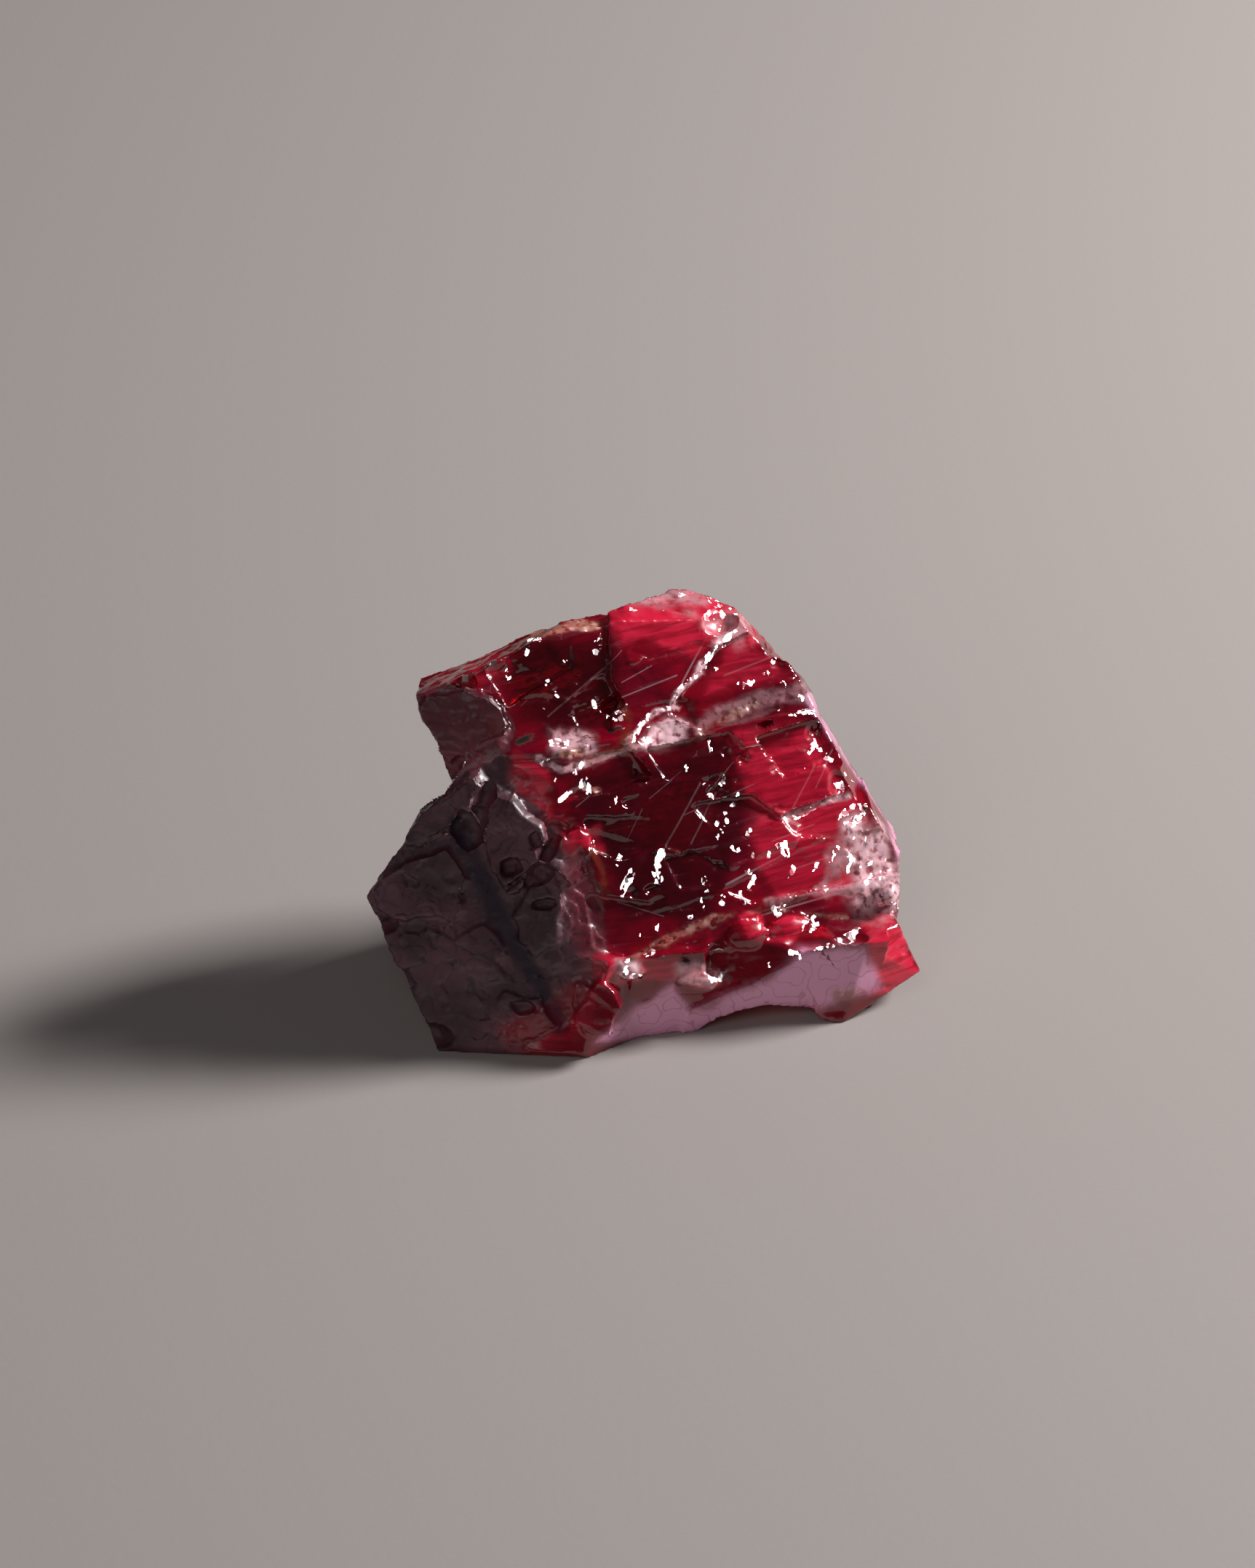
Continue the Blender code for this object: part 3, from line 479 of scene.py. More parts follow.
def default_streaks() -> tuple[Streak, ...]:
    """The veins, stains, bands and cracks that the photographed side shows."""
    return (
        Streak(Mark.MILKY, ((2.8, 2.2), (3.6, 2.8), (5.0, 3.25), (6.9, 3.6)), 0.42, 0.35, 0.48),
        Streak(Mark.VEIN, ((2.7, 2.0), (3.6, 2.5), (5.0, 3.15)), 0.2, 0.35, 0.7),
        Streak(Mark.VEIN, ((-2.6, 1.15), (-1.9, 1.25)), 0.2, 0.2),
        Streak(Mark.VEIN, ((0.0, -6.95), (1.55, -6.19), (3.10, -5.42), (4.4, -5.05)), 0.19, 0.4, 0.62),
        Streak(Mark.VEIN, ((4.4, -5.05), (6.4, -5.0), (8.6, -5.3)), 0.1, 0.3, 0.45),
        Streak(Mark.VEIN, ((-3.65, 5.95), (-2.48, 6.2), (-1.2, 6.3)), 0.24, 0.2, 0.9),
        Streak(Mark.VEIN, ((-1.9, -0.15), (-1.2, -0.25)), 0.12, 0.15, 0.8),
        Streak(Mark.STAIN, ((-0.31, 1.39), (0.1, 2.17), (-0.05, 2.79)), 0.22, 0.5, 0.55),
        Streak(Mark.STAIN, ((-1.5, 0.9), (0.2, 1.6)), 0.14, 0.4, 0.5),
        Streak(Mark.STAIN, ((-1.5, -2.6), (-0.98, -3.41), (-0.95, -4.18)), 0.12, 0.4, 0.55),
        Streak(Mark.STAIN, ((-2.0, 6.2), (-1.0, 6.35)), 0.15, 0.2, 0.6),
        Streak(Mark.MILKY, ((1.75, 3.1), (2.0, 3.6), (2.48, 4.0), (3.10, 4.95), (3.56, 5.51),
                            (4.18, 6.10)), 0.16, 0.25, 0.95),
        Streak(Mark.MILKY, ((-3.5, 1.0), (-2.6, 0.55), (-1.6, 0.8), (0.3, 1.45)), 0.14, 0.25, 0.8),
        Streak(Mark.MILKY, ((-0.1, 1.6), (0.5, 2.3), (1.2, 2.9), (2.0, 3.0)), 0.12, 0.2, 0.9),
        Streak(Mark.MILKY, ((6.1, -1.35), (7.4, -0.8), (8.7, -0.45)), 0.13, 0.15, 0.8),
        Streak(Mark.MILKY, ((2.4, 2.1), (4.6, 2.5), (6.6, 3.2)), 0.07, 0.15, 0.3),
        Streak(Mark.MILKY, ((5.6, -4.7), (7.5, -4.3), (9.2, -3.9)), 0.14, 0.3, 0.45),
        Streak(Mark.MILKY, ((7.4, -4.1), (8.8, -4.3), (10.2, -4.4)), 0.14, 0.3, 0.5),
        # The right edge sliver, with the same painted reflection of the floor.
        Streak(Mark.SLEEK_PAINTED_SHEEN, ((7.2, 3.4), (8.9, 0.9), (10.45, -1.39), (10.84, -3.10)), 0.3, 0.1, 0.9),
        # Painted dark reflection: a dark stripe across the grown face.
        Streak(Mark.PAINTED_DARK_REFLECTION, ((-6.81, -1.55), (-5.57, -4.02), (-4.95, -5.57), (-3.41, -8.05),
                           (-2.63, -9.60)), 0.42, 0.12, 0.9),
        Streak(Mark.SPECK, ((-4.3, 1.65), (-3.8, 1.9)), 0.17, 0.2),
        Streak(Mark.SPECK, ((-0.7, 2.1), (-0.3, 2.25)), 0.12, 0.15),
        Streak(Mark.SPECK, ((2.15, -6.9), (2.4, -6.98)), 0.14, 0.12),
    )


@dataclass
class CrystalSkin:
    """The fine surface of the stone, worked from a copy of its solid.

    Its lengths are in millimetres. Facets, ledges and plates are its layers of relief, and each noise
    is named for what it shapes.
    """

    sight: Sight
    cell: float = 0.085
    triangles: int = 194000
    sharp_angle: float = math.radians(38.0)
    rest_depth: float = 0.45
    glint_edge: float = 0.3
    glint_wobble: float = 0.05
    merge_distance: float = 0.0001
    wear_levels: int = 8
    wear_least: float = 0.3
    wear_grown: float = 0.5
    wear_factor: float = 0.5
    wear_rounds: int = 5
    deepest: float = 0.32
    highest: float = 0.12
    grit: float = 0.008
    pit_depth: float = 0.12
    line_depth: float = 0.012
    lines: float = 7.0
    back_vein: float = 10.6
    facet_scale: tuple[float, float, float] = (0.62, 0.62, 1.2)
    coarse: Facets = Facets(1.9, 0.09, 11)
    medium: Facets = Facets(0.75, 0.12, 23)
    fine: Facets = Facets(0.34, 0.16, 37)
    crumbly: Facets = Facets(0.4, 0.6, 47)
    ledges: Ledges = Ledges(0.5, 0.035, 41)
    broad_plates: Plates = Plates(3.4, 7, 0.36, 53)
    small_plates: Plates = Plates(1.5, 5, 0.09, 57)
    busyness: Noise = Noise(2.8, 2, 5)
    broken_grit: Noise = Noise(0.7, 3, 43)
    grown_grit: Noise = Noise(0.5, 3, 59)
    pits: Noise = Noise(1.3, 3, 61)
    waves: Noise = Noise(1.6, 2, 67)
    wobble: Noise = Noise(0.9, 3, 71)
    patches: Noise = Noise(5.0, 3, 83)
    glint_border: Noise = Noise(0.35, 3, 97)
    areas: tuple[Area, ...] = field(default_factory=default_areas)
    streaks: tuple[Streak, ...] = field(default_factory=default_streaks)

    def fine_mesh(self) -> bpy.types.Object:
        """A merged copy of the solid, covered again with even quads of the cell size."""
        copy = bpy.data.meshes.new("ruby_cells")
        work = bmesh.new()
        work.from_mesh(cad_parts[NODE].data)
        bmesh.ops.remove_doubles(work, verts=work.verts[:], dist=self.merge_distance * MM)
        work.to_mesh(copy)
        work.free()
        piece = bpy.data.objects.new("ruby_skin", copy)
        bpy.context.scene.collection.objects.link(piece)
        cells = piece.modifiers.new("cells", "REMESH")
        cells.mode = "VOXEL"
        cells.voxel_size = self.cell * MM
        self.apply_modifiers(piece)
        places, normals = self.arrays(piece.data)
        grown = self.marks(places, normals)[Mark.GROWN]
        worn = piece.vertex_groups.new(name="worn")
        share = np.round((self.wear_least + self.wear_grown * grown) * self.wear_levels).astype(int)
        for level in range(1, self.wear_levels + 1):
            worn.add(np.flatnonzero(share == level).tolist(), level / self.wear_levels, "REPLACE")
        wear = piece.modifiers.new("wear", "SMOOTH")
        wear.vertex_group = worn.name
        wear.factor = self.wear_factor
        wear.iterations = self.wear_rounds
        self.apply_modifiers(piece)
        piece.vertex_groups.clear()
        return piece

    @staticmethod
    def apply_modifiers(piece: bpy.types.Object) -> None:
        """Puts the result of a piece's modifiers into its mesh and removes them."""
        graph = bpy.context.evaluated_depsgraph_get()
        made = bpy.data.meshes.new_from_object(
            piece.evaluated_get(graph), preserve_all_data_layers=True, depsgraph=graph)
        old = piece.data
        piece.modifiers.clear()
        piece.data = made
        bpy.data.meshes.remove(old)

    @staticmethod
    def arrays(mesh: bpy.types.Mesh) -> tuple[np.ndarray, np.ndarray]:
        """A mesh's vertices, in millimetres, and their normals."""
        places = np.empty(len(mesh.vertices) * 3, np.float32)
        mesh.vertices.foreach_get("co", places)
        normals = np.empty(len(mesh.vertices) * 3, np.float32)
        mesh.vertex_normals.foreach_get("vector", normals)
        return places.reshape(-1, 3).astype(float) / MM, normals.reshape(-1, 3).astype(float)

    def marks(self, places: np.ndarray, normals: np.ndarray) -> dict[Mark, np.ndarray]:
        """How strongly each vertex carries each mark.

        An area or streak counts where its distance, made ragged by noise, is inside its edge, and
        only on surfaces that face the camera. Sides that the photograph doesn't show take grown
        plates on the left and a mix of plates and breaks behind, from noise and the normals.

        Args:
            places: vertices in millimetres.
            normals: their unit normals.

        Returns:
            An array from 0 to 1 for each mark.
        """
        view = self.sight.plane(places)
        facing = ramp(normals @ self.sight.axes()[2], 0.02, 0.2)
        wobble = self.wobble.at(places)
        found = {mark: np.zeros(len(places)) for mark in Mark}
        for drawn in (*self.areas, *self.streaks):
            found[drawn.mark] = np.maximum(found[drawn.mark], drawn.amount(view, wobble) * facing)
        hidden = 1.0 - facing
        patch = self.patches.at(places)
        back = ramp(normals[:, 1], 0.2, 0.6) * ramp(patch + 0.25, -0.05, 0.1)
        left = ramp(-normals[:, 0], 0.35, 0.6)
        found[Mark.GROWN] = np.maximum(found[Mark.GROWN], np.maximum(0.9 * back, left * hidden))
        gap = np.abs(places[:, 2] + 0.35 * patch - self.back_vein)
        veined = (1.0 - ramp(gap, 0.1, 0.35)) * ramp(wobble + 0.15, 0.0, 0.3) * hidden
        found[Mark.VEIN] = np.maximum(found[Mark.VEIN], 0.8 * veined)
        return found

    def relief(self, places: np.ndarray, normals: np.ndarray) -> np.ndarray:
        """How far each vertex moves along its normal, in millimetres, mostly inwards.

        Broken places add flat facets of three sizes to level ledges. Grown places add stepped plates
        and pits. Sleek places keep only faint wavy lines. Near the floor it fades to nothing.

        Args:
            places: vertices in millimetres.
            normals: their unit normals.

        Returns:
            A signed distance for each vertex.
        """
        found = self.marks(places, normals)
        grown, sleek_painted_sheen = found[Mark.GROWN], found[Mark.SLEEK_PAINTED_SHEEN]
        rough = np.maximum(found[Mark.MILKY], found[Mark.VEIN])
        scaled = places * np.array(self.facet_scale)
        busy = ramp(self.busyness.at(places), -0.2, 0.45)
        broken = self.coarse.height(scaled) + (0.15 + 0.85 * busy) * (
            self.medium.height(scaled) + 0.5 * self.fine.height(scaled))
        broken += busy * self.ledges.height(places) + self.grit * self.broken_grit.at(places)
        broken += rough * 0.3 * self.crumbly.height(places) - 0.04
        bent = warped(places)
        plated = self.broad_plates.height(bent) + self.small_plates.height(bent) - 0.1
        plated += self.grit * self.grown_grit.at(places)
        plated -= self.pit_depth * ramp(self.pits.at(bent), 0.48, 0.6)
        waves = self.waves.at(places) * self.lines
        smooth = self.line_depth * np.abs(waves - np.round(waves)) - 0.02
        moved = broken * (1.0 - grown) + plated * grown
        moved = moved * (1.0 - sleek_painted_sheen) + smooth * sleek_painted_sheen
        return np.clip(moved, -self.deepest, self.highest) * ramp(places[:, 2], 0.03, self.rest_depth)

    def glints(self, places: np.ndarray, normals: np.ndarray) -> np.ndarray:
        """How far inside a glinting facet each vertex is: 0.5 at its ragged border, more inside.

        Args:
            places: vertices in millimetres.
            normals: their unit normals.

        Returns:
            A value from 0 to 1 for each vertex.
        """
        view = self.sight.plane(places)
        facing = ramp(normals @ self.sight.axes()[2], 0.05, 0.2)
        wobble = self.glint_wobble * self.glint_border.at(places)
        found = np.zeros(len(places))
        for width, *path in GLINTS:
            inside = width + wobble - line_distance(view, tuple(path))
            found = np.maximum(found, 0.5 + inside / self.glint_edge)
        return np.clip(found, 0.0, 1.0) * facing

    def carve(self, piece: bpy.types.Object) -> None:
        """Moves the vertices by the relief, inside the solid's box, and thins out the triangles."""
        places, normals = self.arrays(piece.data)
        moved = places + normals * self.relief(places, normals)[:, None]
        low, high = (np.array(corner) / MM for corner in CAD_BOX)
        moved = np.clip(moved, low, high)
        piece.data.vertices.foreach_set("co", (moved * MM).astype(np.float32).ravel())
        piece.data.update()
        thin = piece.modifiers.new("thin", "DECIMATE")
        count = sum(len(face.vertices) - 2 for face in piece.data.polygons)
        thin.ratio = min(1.0, self.triangles / count)
        self.apply_modifiers(piece)

    def write_layers(self, mesh: bpy.types.Mesh) -> None:
        """Stores the marks, the glints and the rims as values on the mesh's vertices."""
        places, normals = self.arrays(mesh)
        layers = {mark.value: amount for mark, amount in self.marks(places, normals).items()}
        layers[GLINT_LAYER] = self.glints(places, normals)
        layers[RIM_LAYER] = self.broad_plates.rims(warped(places))
        for name, amount in layers.items():
            layer = mesh.attributes.new(name, "FLOAT", "POINT")
            layer.data.foreach_set("value", amount.astype(np.float32))

    def build(self) -> bpy.types.Object:
        """Makes the stone's surface, marks it and says what it stands for."""
        piece = self.fine_mesh()
        self.carve(piece)
        self.write_layers(piece.data)
        piece.data.shade_smooth()
        piece.data.set_sharp_from_angle(angle=self.sharp_angle)
        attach(piece, BODY)
        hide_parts(NODE)
        mesh = piece.data
        LOG.info("%s: %d vertices, %d faces", piece.name, len(mesh.vertices), len(mesh.polygons))
        return piece


@dataclass
class Shader:
    """A material's node tree, with short ways to add and join nodes."""

    name: str

    def __post_init__(self) -> None:
        """Makes the empty material."""
        self.material = bpy.data.materials.new(self.name)
        self.material.use_nodes = True
        self.tree = self.material.node_tree
        self.tree.nodes.clear()

    def node(self, kind: str, values: dict | None = None, **settings: object) -> bpy.types.Node:
        """Adds a node.

        Args:
            kind: the node's type, without its prefix.
            values: what each input takes: a number, a colour or another node's output.
            settings: the node's own settings.

        Returns:
            The new node.
        """
        made = self.tree.nodes.new("ShaderNode" + kind)
        for name, setting in settings.items():
            setattr(made, name, setting)
        for key, value in (values or {}).items():
            if isinstance(value, bpy.types.NodeSocket):
                self.tree.links.new(value, made.inputs[key])
            else:
                made.inputs[key].default_value = value
        return made

    def layer(self, name: str) -> Socket:
        """The value of one of the mesh's attributes on the surface."""
        return self.node("Attribute", attribute_name=name).outputs["Fac"]

    def math(self, operation: str, *values: object) -> Socket:
        """One arithmetic step on numbers or sockets."""
        return self.node("Math", dict(enumerate(values)), operation=operation).outputs[0]

    def vector(self, operation: str, first: object, second: object) -> Socket:
        """One step on vectors or sockets."""
        return self.node("VectorMath", {0: first, 1: second}, operation=operation).outputs[0]

    def scaled(self, vector: object, scale: object) -> Socket:
        """A vector times a number."""
        return self.node("VectorMath", {0: vector, "Scale": scale}, operation="SCALE").outputs[0]

    def mix(self, amount: object, first: object, second: object) -> Socket:
        """Blends two colours by an amount."""
        values = {0: amount, 6: first, 7: second}
        return self.node("Mix", values, data_type="RGBA", clamp_factor=True).outputs[2]

    def blend(self, amount: object, first: object, second: object) -> Socket:
        """Blends two numbers by an amount."""
        values = {0: amount, 2: first, 3: second}
        return self.node("Mix", values, data_type="FLOAT", clamp_factor=True).outputs[0]

    def aim(self, amount: object, first: object, second: object) -> Socket:
        """Blends two directions by an amount."""
        values = {0: amount, 4: first, 5: second}
        return self.node("Mix", values, data_type="VECTOR", clamp_factor=True).outputs[1]

    def stretched(self, space: object, across: float, up: float) -> Socket:
        """Object coordinates in millimetres, times a number across and another one up."""
        scale = (across / MM, across / MM, up / MM)
        return self.node("Mapping", {"Vector": space, "Scale": scale}).outputs["Vector"]

    def noise(self, place: object, scale: float, detail: float, **values: float) -> Socket:
        """Layered noise between 0 and 1."""
        values = {"Vector": place, "Scale": scale, "Detail": detail, **values}
        return self.node("TexNoise", values).outputs["Fac"]

    def band(self, value: object, low: float, high: float, start: float = 0.0,
             end: float = 1.0) -> Socket:
        """Maps a value from low-high to start-end, held at the ends."""
        values = {"Value": value, "From Min": low, "From Max": high, "To Min": start, "To Max": end}
        return self.node("MapRange", values, interpolation_type="SMOOTHSTEP").outputs["Result"]


@dataclass(frozen=True)
class Patterns:
    """What the stone's colours and gloss share: coordinates, noise, and how much of each mark."""

    space: Socket
    place: Socket
    cloud: Socket
    grain: Socket
    brushed: Socket
    sheet: Socket
    gap: Socket
    shards: Socket
    pale: Socket
    milk: Socket
    vein: Socket
    grown: Socket
    marks: dict[Mark, Socket]

    @classmethod
    def made(cls, shader: Shader) -> "Patterns":
        """Makes them from the Object coordinates and the mesh's attributes.

        Args:
            shader: the material that they belong to.

        Returns:
            The patterns, each as the output of a node.
        """
        space = shader.node("TexCoord").outputs["Object"]
        place = shader.stretched(space, 1.0, 1.0)
        flat = shader.stretched(space, 0.3, 3.2)
        steep = shader.stretched(space, 1.0, 0.45)
        marks = {mark: shader.layer(mark.value) for mark in Mark}
        grain = shader.noise(place, 3.4, 5.0)
        sheet = shader.band(shader.noise(flat, 0.8, 3.0, Distortion=0.4), 0.60, 0.66)
        gaps = shader.node("TexVoronoi", {"Vector": place, "Scale": 0.9}, feature="DISTANCE_TO_EDGE")
        shards = shader.node("TexVoronoi", {"Vector": steep, "Scale": 5.5, "Randomness": 1.0})
        cracked = shader.math("MULTIPLY", shader.band(gaps.outputs["Distance"], 0.035, 0.0), sheet)
        pale = shader.math("MAXIMUM", shader.math("MULTIPLY", sheet, 0.14),
                           shader.math("MULTIPLY", cracked, 0.6))
        rugged = shader.math("SUBTRACT", 1.0, marks[Mark.SLEEK_PAINTED_SHEEN])
        # The grown colour fades under the painted light.
        unlit = shader.math("SUBTRACT", 1.0, shader.math("MULTIPLY", marks[Mark.GLOW], 0.8))
        return cls(
            space=space, place=place, grain=grain, sheet=sheet, marks=marks,
            cloud=shader.noise(place, 0.42, 4.0),
            brushed=shader.noise(flat, 1.7, 5.0, Distortion=0.6),
            gap=gaps.outputs["Distance"], shards=shards.outputs["Color"],
            pale=shader.math("MULTIPLY", pale, rugged),
            milk=shader.math("MULTIPLY", marks[Mark.MILKY], shader.band(grain, 0.30, 0.52, 0.35, 1.0)),
            vein=shader.math("MULTIPLY", marks[Mark.VEIN], shader.band(grain, 0.34, 0.50, 0.25, 1.0)),
            grown=shader.math("MULTIPLY", marks[Mark.GROWN], unlit))


@dataclass(frozen=True)
class RubyFinish:
    """Colour, clearness and gloss of the stone and its markings."""

    mirror: tuple[float, float, float]
    ior: float = 1.77
    absorbed: Colour = (0.93, 0.1, 0.2, 1.0)
    density: float = 620.0
    clear_deep: Colour = (0.34, 0.003, 0.028, 1.0)
    clear_bright: Colour = (0.60, 0.004, 0.030, 1.0)
    # Painted light: the bright crimson of light shining through the stone.
    painted_glow: Colour = (0.98, 0.016, 0.070, 1.0)
    milky: Colour = (1.0, 0.62, 0.68, 1.0)
    lamella: Colour = (0.85, 0.22, 0.32, 1.0)
    grown_dark: Colour = (0.048, 0.012, 0.022, 1.0)
    grown_pale: Colour = (0.115, 0.038, 0.056, 1.0)
    rim: Colour = (0.022, 0.006, 0.010, 1.0)
    vein_pale: Colour = (0.80, 0.50, 0.42, 1.0)
    vein_tan: Colour = (0.52, 0.20, 0.14, 1.0)
    stain: Colour = (0.42, 0.09, 0.035, 1.0)
    # Painted dark reflection: the near-black blue of the stripe on the grown face.
    band: Colour = (0.012, 0.011, 0.022, 1.0)
    speck: Colour = (0.008, 0.008, 0.006, 1.0)
    # Painted reflection: the lilac that the floor lends to the smooth bevel.
    sleek_painted_sheen: Colour = (1.0, 0.44, 0.68, 1.0)
    sleek_line: Colour = (0.45, 0.06, 0.14, 1.0)
    scratched: Colour = (0.92, 0.55, 0.62, 1.0)
    face_azimuth: float = math.radians(25.5)
    face_tilt: float = math.radians(34.0)
    pressed: float = 0.08

    def face_axes(self) -> Matrix:
        """Unit vectors along, up and out of the broken faces, as the rows of a matrix."""
        run = math.cos(self.face_tilt)
        out = Vector((math.sin(self.face_azimuth) * run, -math.cos(self.face_azimuth) * run,
                      math.sin(self.face_tilt)))
        along = Vector((0.0, 0.0, 1.0)).cross(out).normalized()
        return Matrix((along, out.cross(along), out))

    def material(self) -> bpy.types.Material:
        """The stone's material: one surface whose markings come from attributes and noise."""
        shader = Shader("ruby")
        patterns = Patterns.made(shader)
        marks = patterns.marks
        base = self.clear_colour(shader, patterns)
        base = self.marked_colour(shader, patterns, base)
        base = self.grown_colour(shader, patterns, base)
        glint = self.glint(shader, patterns)
        dull = shader.math("MAXIMUM", marks[Mark.SPECK], shader.math("MULTIPLY", marks[Mark.PAINTED_DARK_REFLECTION], 0.8))
        clear = shader.math("SUBTRACT", 1.0, self.opacity(shader, patterns))
        values = {"Base Color": base, "IOR": self.ior, "Transmission Weight": clear,
                  "Roughness": shader.blend(glint, self.roughness(shader, patterns), 0.12),
                  "Normal": self.normal(shader, patterns, glint),
                  "Specular IOR Level": shader.blend(dull, 0.5, 0.06)}
        surface = shader.node("BsdfPrincipled", values)
        inside = shader.node("VolumeAbsorption", {"Color": self.absorbed, "Density": self.density})
        shader.node("OutputMaterial", {"Surface": surface.outputs[0], "Volume": inside.outputs[0]})
        return shader.material

    def clear_colour(self, shader: Shader, patterns: Patterns) -> Socket:
        """Deep and bright red in clouds and level brush marks, with pale sheets and scratches, darkened by
        painted shade and brightened by painted light.
        """
        marks = patterns.marks
        # Painted shade pulls the red towards the deep tone.
        bright = shader.math("SUBTRACT", shader.band(patterns.cloud, 0.36, 0.62),
                             shader.math("MULTIPLY", marks[Mark.PAINTED_SHADE], 0.75))
        bright = shader.math("ADD", bright, shader.band(patterns.brushed, 0.45, 0.68, 0.0, 0.6))
        base = shader.mix(bright, self.clear_deep, self.clear_bright)
        base = shader.mix(patterns.pale, base, self.lamella)
        base = shader.mix(self.scratches(shader, patterns.space), base, self.scratched)
        # Painted light: brighter crimson where light shines through the stone.
        lit = shader.mix(shader.band(patterns.brushed, 0.38, 0.6), self.clear_bright, self.painted_glow)
        return shader.mix(marks[Mark.GLOW], base, lit)

    def marked_colour(self, shader: Shader, patterns: Patterns, base: Socket) -> Socket:
        """Adds the sleek bevel, whose lilac is a painted reflection of the floor, with its wavy lines, the
        milky patches, the stains and the veins.
        """
        marks = patterns.marks
        waves = shader.math("MULTIPLY", shader.noise(patterns.place, 0.55, 2.0), 9.0)
        contour = shader.math("PINGPONG", waves, 0.5)
        # Painted reflection: the floor's lilac on the smooth bevel, crossed by darker wavy lines.
        sleek_painted_sheen = shader.mix(shader.band(contour, 0.0, 0.10, 0.45, 0.0), self.sleek_painted_sheen, self.sleek_line)
        base = shader.mix(marks[Mark.SLEEK_PAINTED_SHEEN], base, sleek_painted_sheen)
        base = shader.mix(patterns.milk, base, self.milky)
        base = shader.mix(marks[Mark.STAIN], base, self.stain)
        crystals = shader.node("TexVoronoi", {"Vector": patterns.place, "Scale": 2.3, "Randomness": 1.0})
        middle = shader.band(crystals.outputs["Distance"], 0.15, 0.5)
        return shader.mix(patterns.vein, base, shader.mix(middle, self.vein_pale, self.vein_tan))

    def grown_colour(self, shader: Shader, patterns: Patterns, base: Socket) -> Socket:
        """Adds the grown plates with their dark rims and hairline cracks, the band of painted dark
        reflection and the specks.
        """
        plate = shader.mix(shader.band(patterns.cloud, 0.38, 0.6), self.grown_dark, self.grown_pale)
        plate = shader.mix(shader.band(shader.layer(RIM_LAYER), 0.03, 0.09, 0.75, 0.0), plate, self.rim)
        plate = shader.mix(shader.band(patterns.gap, 0.012, 0.03, 0.4, 0.0), plate, self.rim)
        base = shader.mix(patterns.grown, base, plate)
        base = shader.mix(shader.math("MULTIPLY", patterns.marks[Mark.PAINTED_DARK_REFLECTION], 0.8), base, self.band)
        return shader.mix(patterns.marks[Mark.SPECK], base, self.speck)

    @staticmethod
    def roughness(shader: Shader, patterns: Patterns) -> Socket:
        """Glassy where broken, duller under the painted light, and dullest on plates, veins and specks."""
        marks = patterns.marks
        rough = shader.blend(shader.math("MULTIPLY", marks[Mark.GLOW], 0.85),
                             shader.band(patterns.grain, 0.3, 0.7, 0.05, 0.13), 0.28)
        rough = shader.blend(patterns.grown, rough, shader.band(patterns.grain, 0.3, 0.7, 0.40, 0.54))
        rough = shader.blend(shader.math("MAXIMUM", patterns.vein, marks[Mark.SPECK]), rough, 0.48)
        return shader.blend(shader.math("MULTIPLY", patterns.milk, 0.6), rough, 0.24)

    @staticmethod
    def glint(shader: Shader, patterns: Patterns) -> Socket:
        """Where a small facet mirrors the light: inside a glint's border, broken up by the shards."""
        offset = shader.band(patterns.shards, 0.25, 0.75, -0.26, 0.26)
        return shader.band(shader.math("ADD", shader.layer(GLINT_LAYER), offset), 0.62, 0.65)

    def normal(self, shader: Shader, patterns: Patterns, glint: Socket) -> Socket:
        """Faint unevenness everywhere. In a glint each shard faces about halfway from camera to light."""
        tiny = shader.noise(patterns.place, 7.5, 4.0)
        height = shader.math("ADD", shader.math("MULTIPLY", tiny, 0.5),
                             shader.math("MULTIPLY", patterns.sheet, 0.35))
        uneven = shader.node("Bump", {"Height": height, "Strength": 0.13, "Distance": 0.05 * MM})
        tilt = shader.scaled(shader.vector("SUBTRACT", patterns.shards, (0.5, 0.5, 0.5)), 0.19)
        turned = shader.node("VectorTransform", {"Vector": shader.vector("ADD", tilt, self.mirror)},
                             vector_type="NORMAL", convert_from="OBJECT", convert_to="WORLD")
        return shader.aim(glint, uneven.outputs["Normal"], turned.outputs[0])

    def scratches(self, shader: Shader, space: Socket) -> Socket:
        """Fine straight scratches on the broken faces.

        A place is turned to the axes of the broken faces and its height over them is pressed flat. It is
        scratched where its distance from a segment, turned the same way, is under the scratch's reach.

        Args:
            shader: the material that they belong to.
            space: the surface's Object coordinates.

        Returns:
            How strongly each place is scratched.
        """
        axes = self.face_axes()
        flat = shader.node("Mapping", {"Vector": space, "Rotation": axes.transposed().to_euler(),
                                       "Scale": (MM, MM, MM / self.pressed)},
                           vector_type="TEXTURE").outputs[0]
        press = Matrix.Diagonal((1.0, 1.0, self.pressed)) @ axes
        total = 0.0
        for start, end, reach in SCRATCHES:
            first, last = press @ Vector(start), press @ Vector(end)
            path = last - first
            offset = shader.vector("SUBTRACT", flat, first)
            along = shader.node("VectorMath", {0: offset, 1: path / path.length_squared},
                                operation="DOT_PRODUCT")
            share = shader.node("Clamp", {"Value": along.outputs["Value"]}).outputs[0]
            gap = shader.node("VectorMath", {0: offset, 1: shader.scaled(path, share)},
                              operation="DISTANCE")
            mark = shader.band(gap.outputs["Value"], 0.5 * reach, reach, 0.8, 0.0)
            total = shader.math("MAXIMUM", total, mark)
        return total

    @staticmethod
    def opacity(shader: Shader, patterns: Patterns) -> Socket:
        """How opaque the surface is: the strongest of what each marking takes from its clearness."""
        marks = patterns.marks
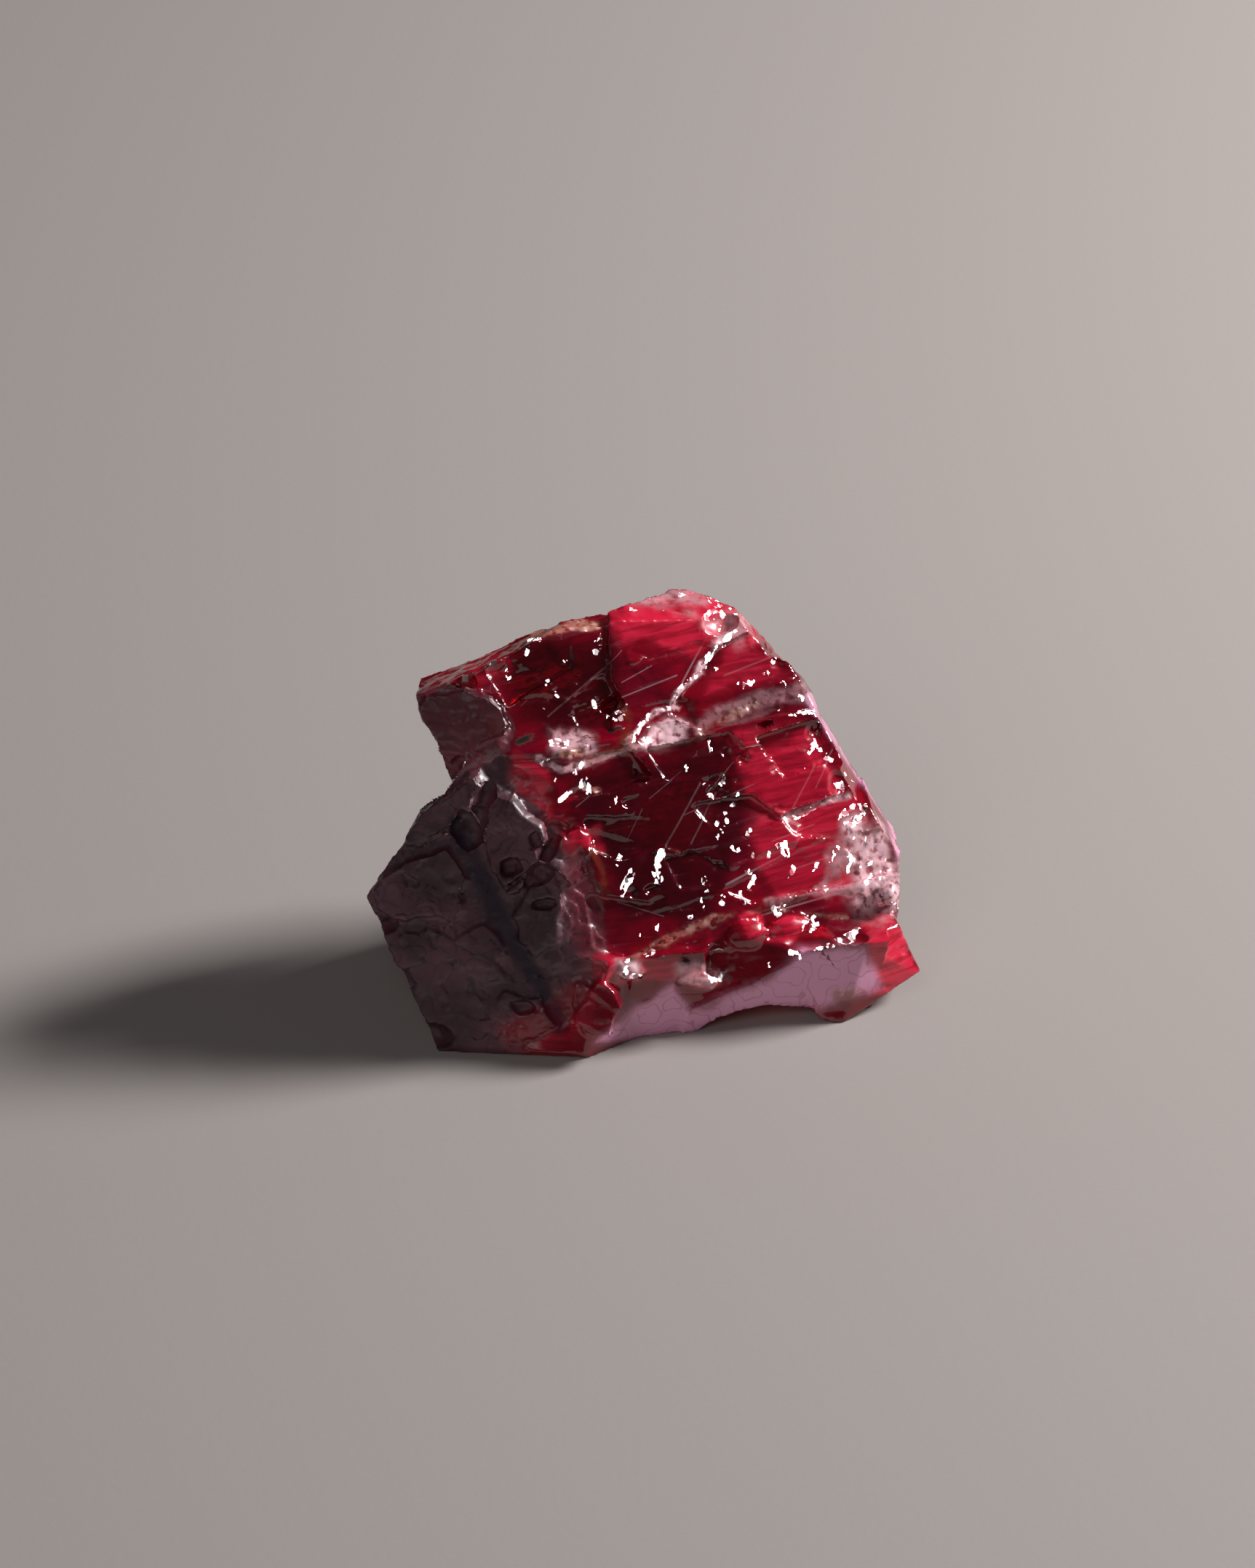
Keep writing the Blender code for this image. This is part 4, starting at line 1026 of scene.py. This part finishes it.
        # Painted shade also leaves the body clearer.
        total = shader.math("SUBTRACT", 0.30, shader.math("MULTIPLY", marks[Mark.PAINTED_SHADE], 0.22))
        for amount, share in (
                (marks[Mark.GLOW], 0.66), (marks[Mark.SLEEK_PAINTED_SHEEN], 0.75), (patterns.pale, 0.6),
                (patterns.milk, 0.88), (patterns.vein, 0.92), (patterns.grown, 0.80),
                (marks[Mark.STAIN], 0.7), (marks[Mark.PAINTED_DARK_REFLECTION], 0.9), (marks[Mark.SPECK], 1.0)):
            total = shader.math("MAXIMUM", total, shader.math("MULTIPLY", amount, share))
        return total


@dataclass(frozen=True)
class FloorFinish:
    """A plain pale card with a faint paper grain."""

    colour: Colour = (0.34, 0.30, 0.285, 1.0)
    roughness: float = 0.85

    def material(self) -> bpy.types.Material:
        """The floor's material."""
        shader = Shader("pale_floor")
        space = shader.node("TexCoord").outputs["Object"]
        grain = shader.noise(space, 3000.0, 2.0)
        bump = shader.node("Bump", {"Height": grain, "Strength": 0.1, "Distance": 0.05 * MM})
        values = {"Base Color": self.colour, "Roughness": self.roughness,
                  "Normal": bump.outputs["Normal"]}
        surface = shader.node("BsdfPrincipled", values)
        shader.node("OutputMaterial", {"Surface": surface.outputs[0]})
        return shader.material


@dataclass
class Studio:
    """The floor, the lights and the camera."""

    sight: Sight
    floor_side: float = 3000.0
    floor_steps: int = 8
    aim_height: float = 6.0
    key_distance: float = 300.0
    key_size: float = 75.0
    key_power: float = 1.6
    fill_from: tuple[float, float, float] = (-0.35, -0.8, 0.75)
    fill_distance: float = 420.0
    fill_size: float = 260.0
    fill_power: float = 0.34
    nearest: float = 10.0
    sky: Colour = (0.9, 0.92, 1.0, 1.0)
    sky_strength: float = 0.03

    def floor(self) -> bpy.types.Object:
        """A wide flat sheet: a grid of places over across and depth, all at height 0."""
        steps = self.floor_steps
        reach = np.linspace(-0.5, 0.5, steps + 1) * self.floor_side * MM
        across, depth = np.meshgrid(reach, reach)
        places = np.stack([across, depth, np.zeros_like(across)], -1).reshape(-1, 3)
        corner = (np.arange(steps)[:, None] * (steps + 1) + np.arange(steps)).ravel()
        faces = np.stack([corner, corner + 1, corner + steps + 2, corner + steps + 1], -1)
        mesh = bpy.data.meshes.new("floor")
        mesh.from_pydata(places.tolist(), [], faces.tolist())
        piece = bpy.data.objects.new("floor", mesh)
        bpy.context.scene.collection.objects.link(piece)
        mesh.materials.append(FloorFinish().material())
        return piece

    def area_light(self, name: str, towards: tuple[float, float, float], distance: float, size: float,
                   power: float) -> bpy.types.Object:
        """A square light, that far from the stone in that direction, aimed at it."""
        lamp = bpy.data.lights.new(name, "AREA")
        lamp.size = size * MM
        lamp.energy = power
        piece = bpy.data.objects.new(name, lamp)
        direction = Vector(towards).normalized()
        place = direction * distance + Vector((0.0, 0.0, self.aim_height))
        turned = direction.to_track_quat("Z", "Y").to_matrix().to_4x4()
        piece.matrix_world = Matrix.Translation(place * MM) @ turned
        bpy.context.scene.collection.objects.link(piece)
        return piece

    def camera(self) -> bpy.types.Object:
        """The camera, at the photograph's angle and distance."""
        lens = bpy.data.cameras.new("camera")
        lens.lens = self.sight.lens
        lens.sensor_width = self.sight.sensor
        lens.clip_start = self.nearest * MM
        piece = bpy.data.objects.new("camera", lens)
        turned = Matrix([list(axis) for axis in self.sight.axes()]).transposed().to_4x4()
        piece.matrix_world = Matrix.Translation(Vector(self.sight.eye()) * MM) @ turned
        bpy.context.scene.collection.objects.link(piece)
        bpy.context.scene.camera = piece
        return piece

    def sky_light(self) -> bpy.types.World:
        """Soft even light from all round."""
        world = bpy.data.worlds.new("studio")
        world.use_nodes = True
        backdrop = world.node_tree.nodes["Background"]
        backdrop.inputs["Color"].default_value = self.sky
        backdrop.inputs["Strength"].default_value = self.sky_strength
        bpy.context.scene.world = world
        bpy.context.scene.view_settings.view_transform = "Standard"
        return world

    def build(self) -> None:
        """Sets everything up round the stone."""
        self.floor()
        self.area_light("key", TO_LIGHT, self.key_distance, self.key_size, self.key_power)
        fill = self.area_light("fill", self.fill_from, self.fill_distance, self.fill_size,
                               self.fill_power)
        fill.visible_glossy = False
        self.camera()
        self.sky_light()


def main() -> None:
    """Builds the stone and the studio in order."""
    logging.basicConfig(level=logging.INFO, format="%(message)s")
    sight = Sight()
    halfway = Vector(sight.axes()[2]) + Vector(TO_LIGHT).normalized()
    stone = CrystalSkin(sight).build()
    stone.data.materials.clear()
    stone.data.materials.append(RubyFinish(tuple(halfway.normalized())).material())
    Studio(sight).build()


if __name__ == "__main__":
    main()
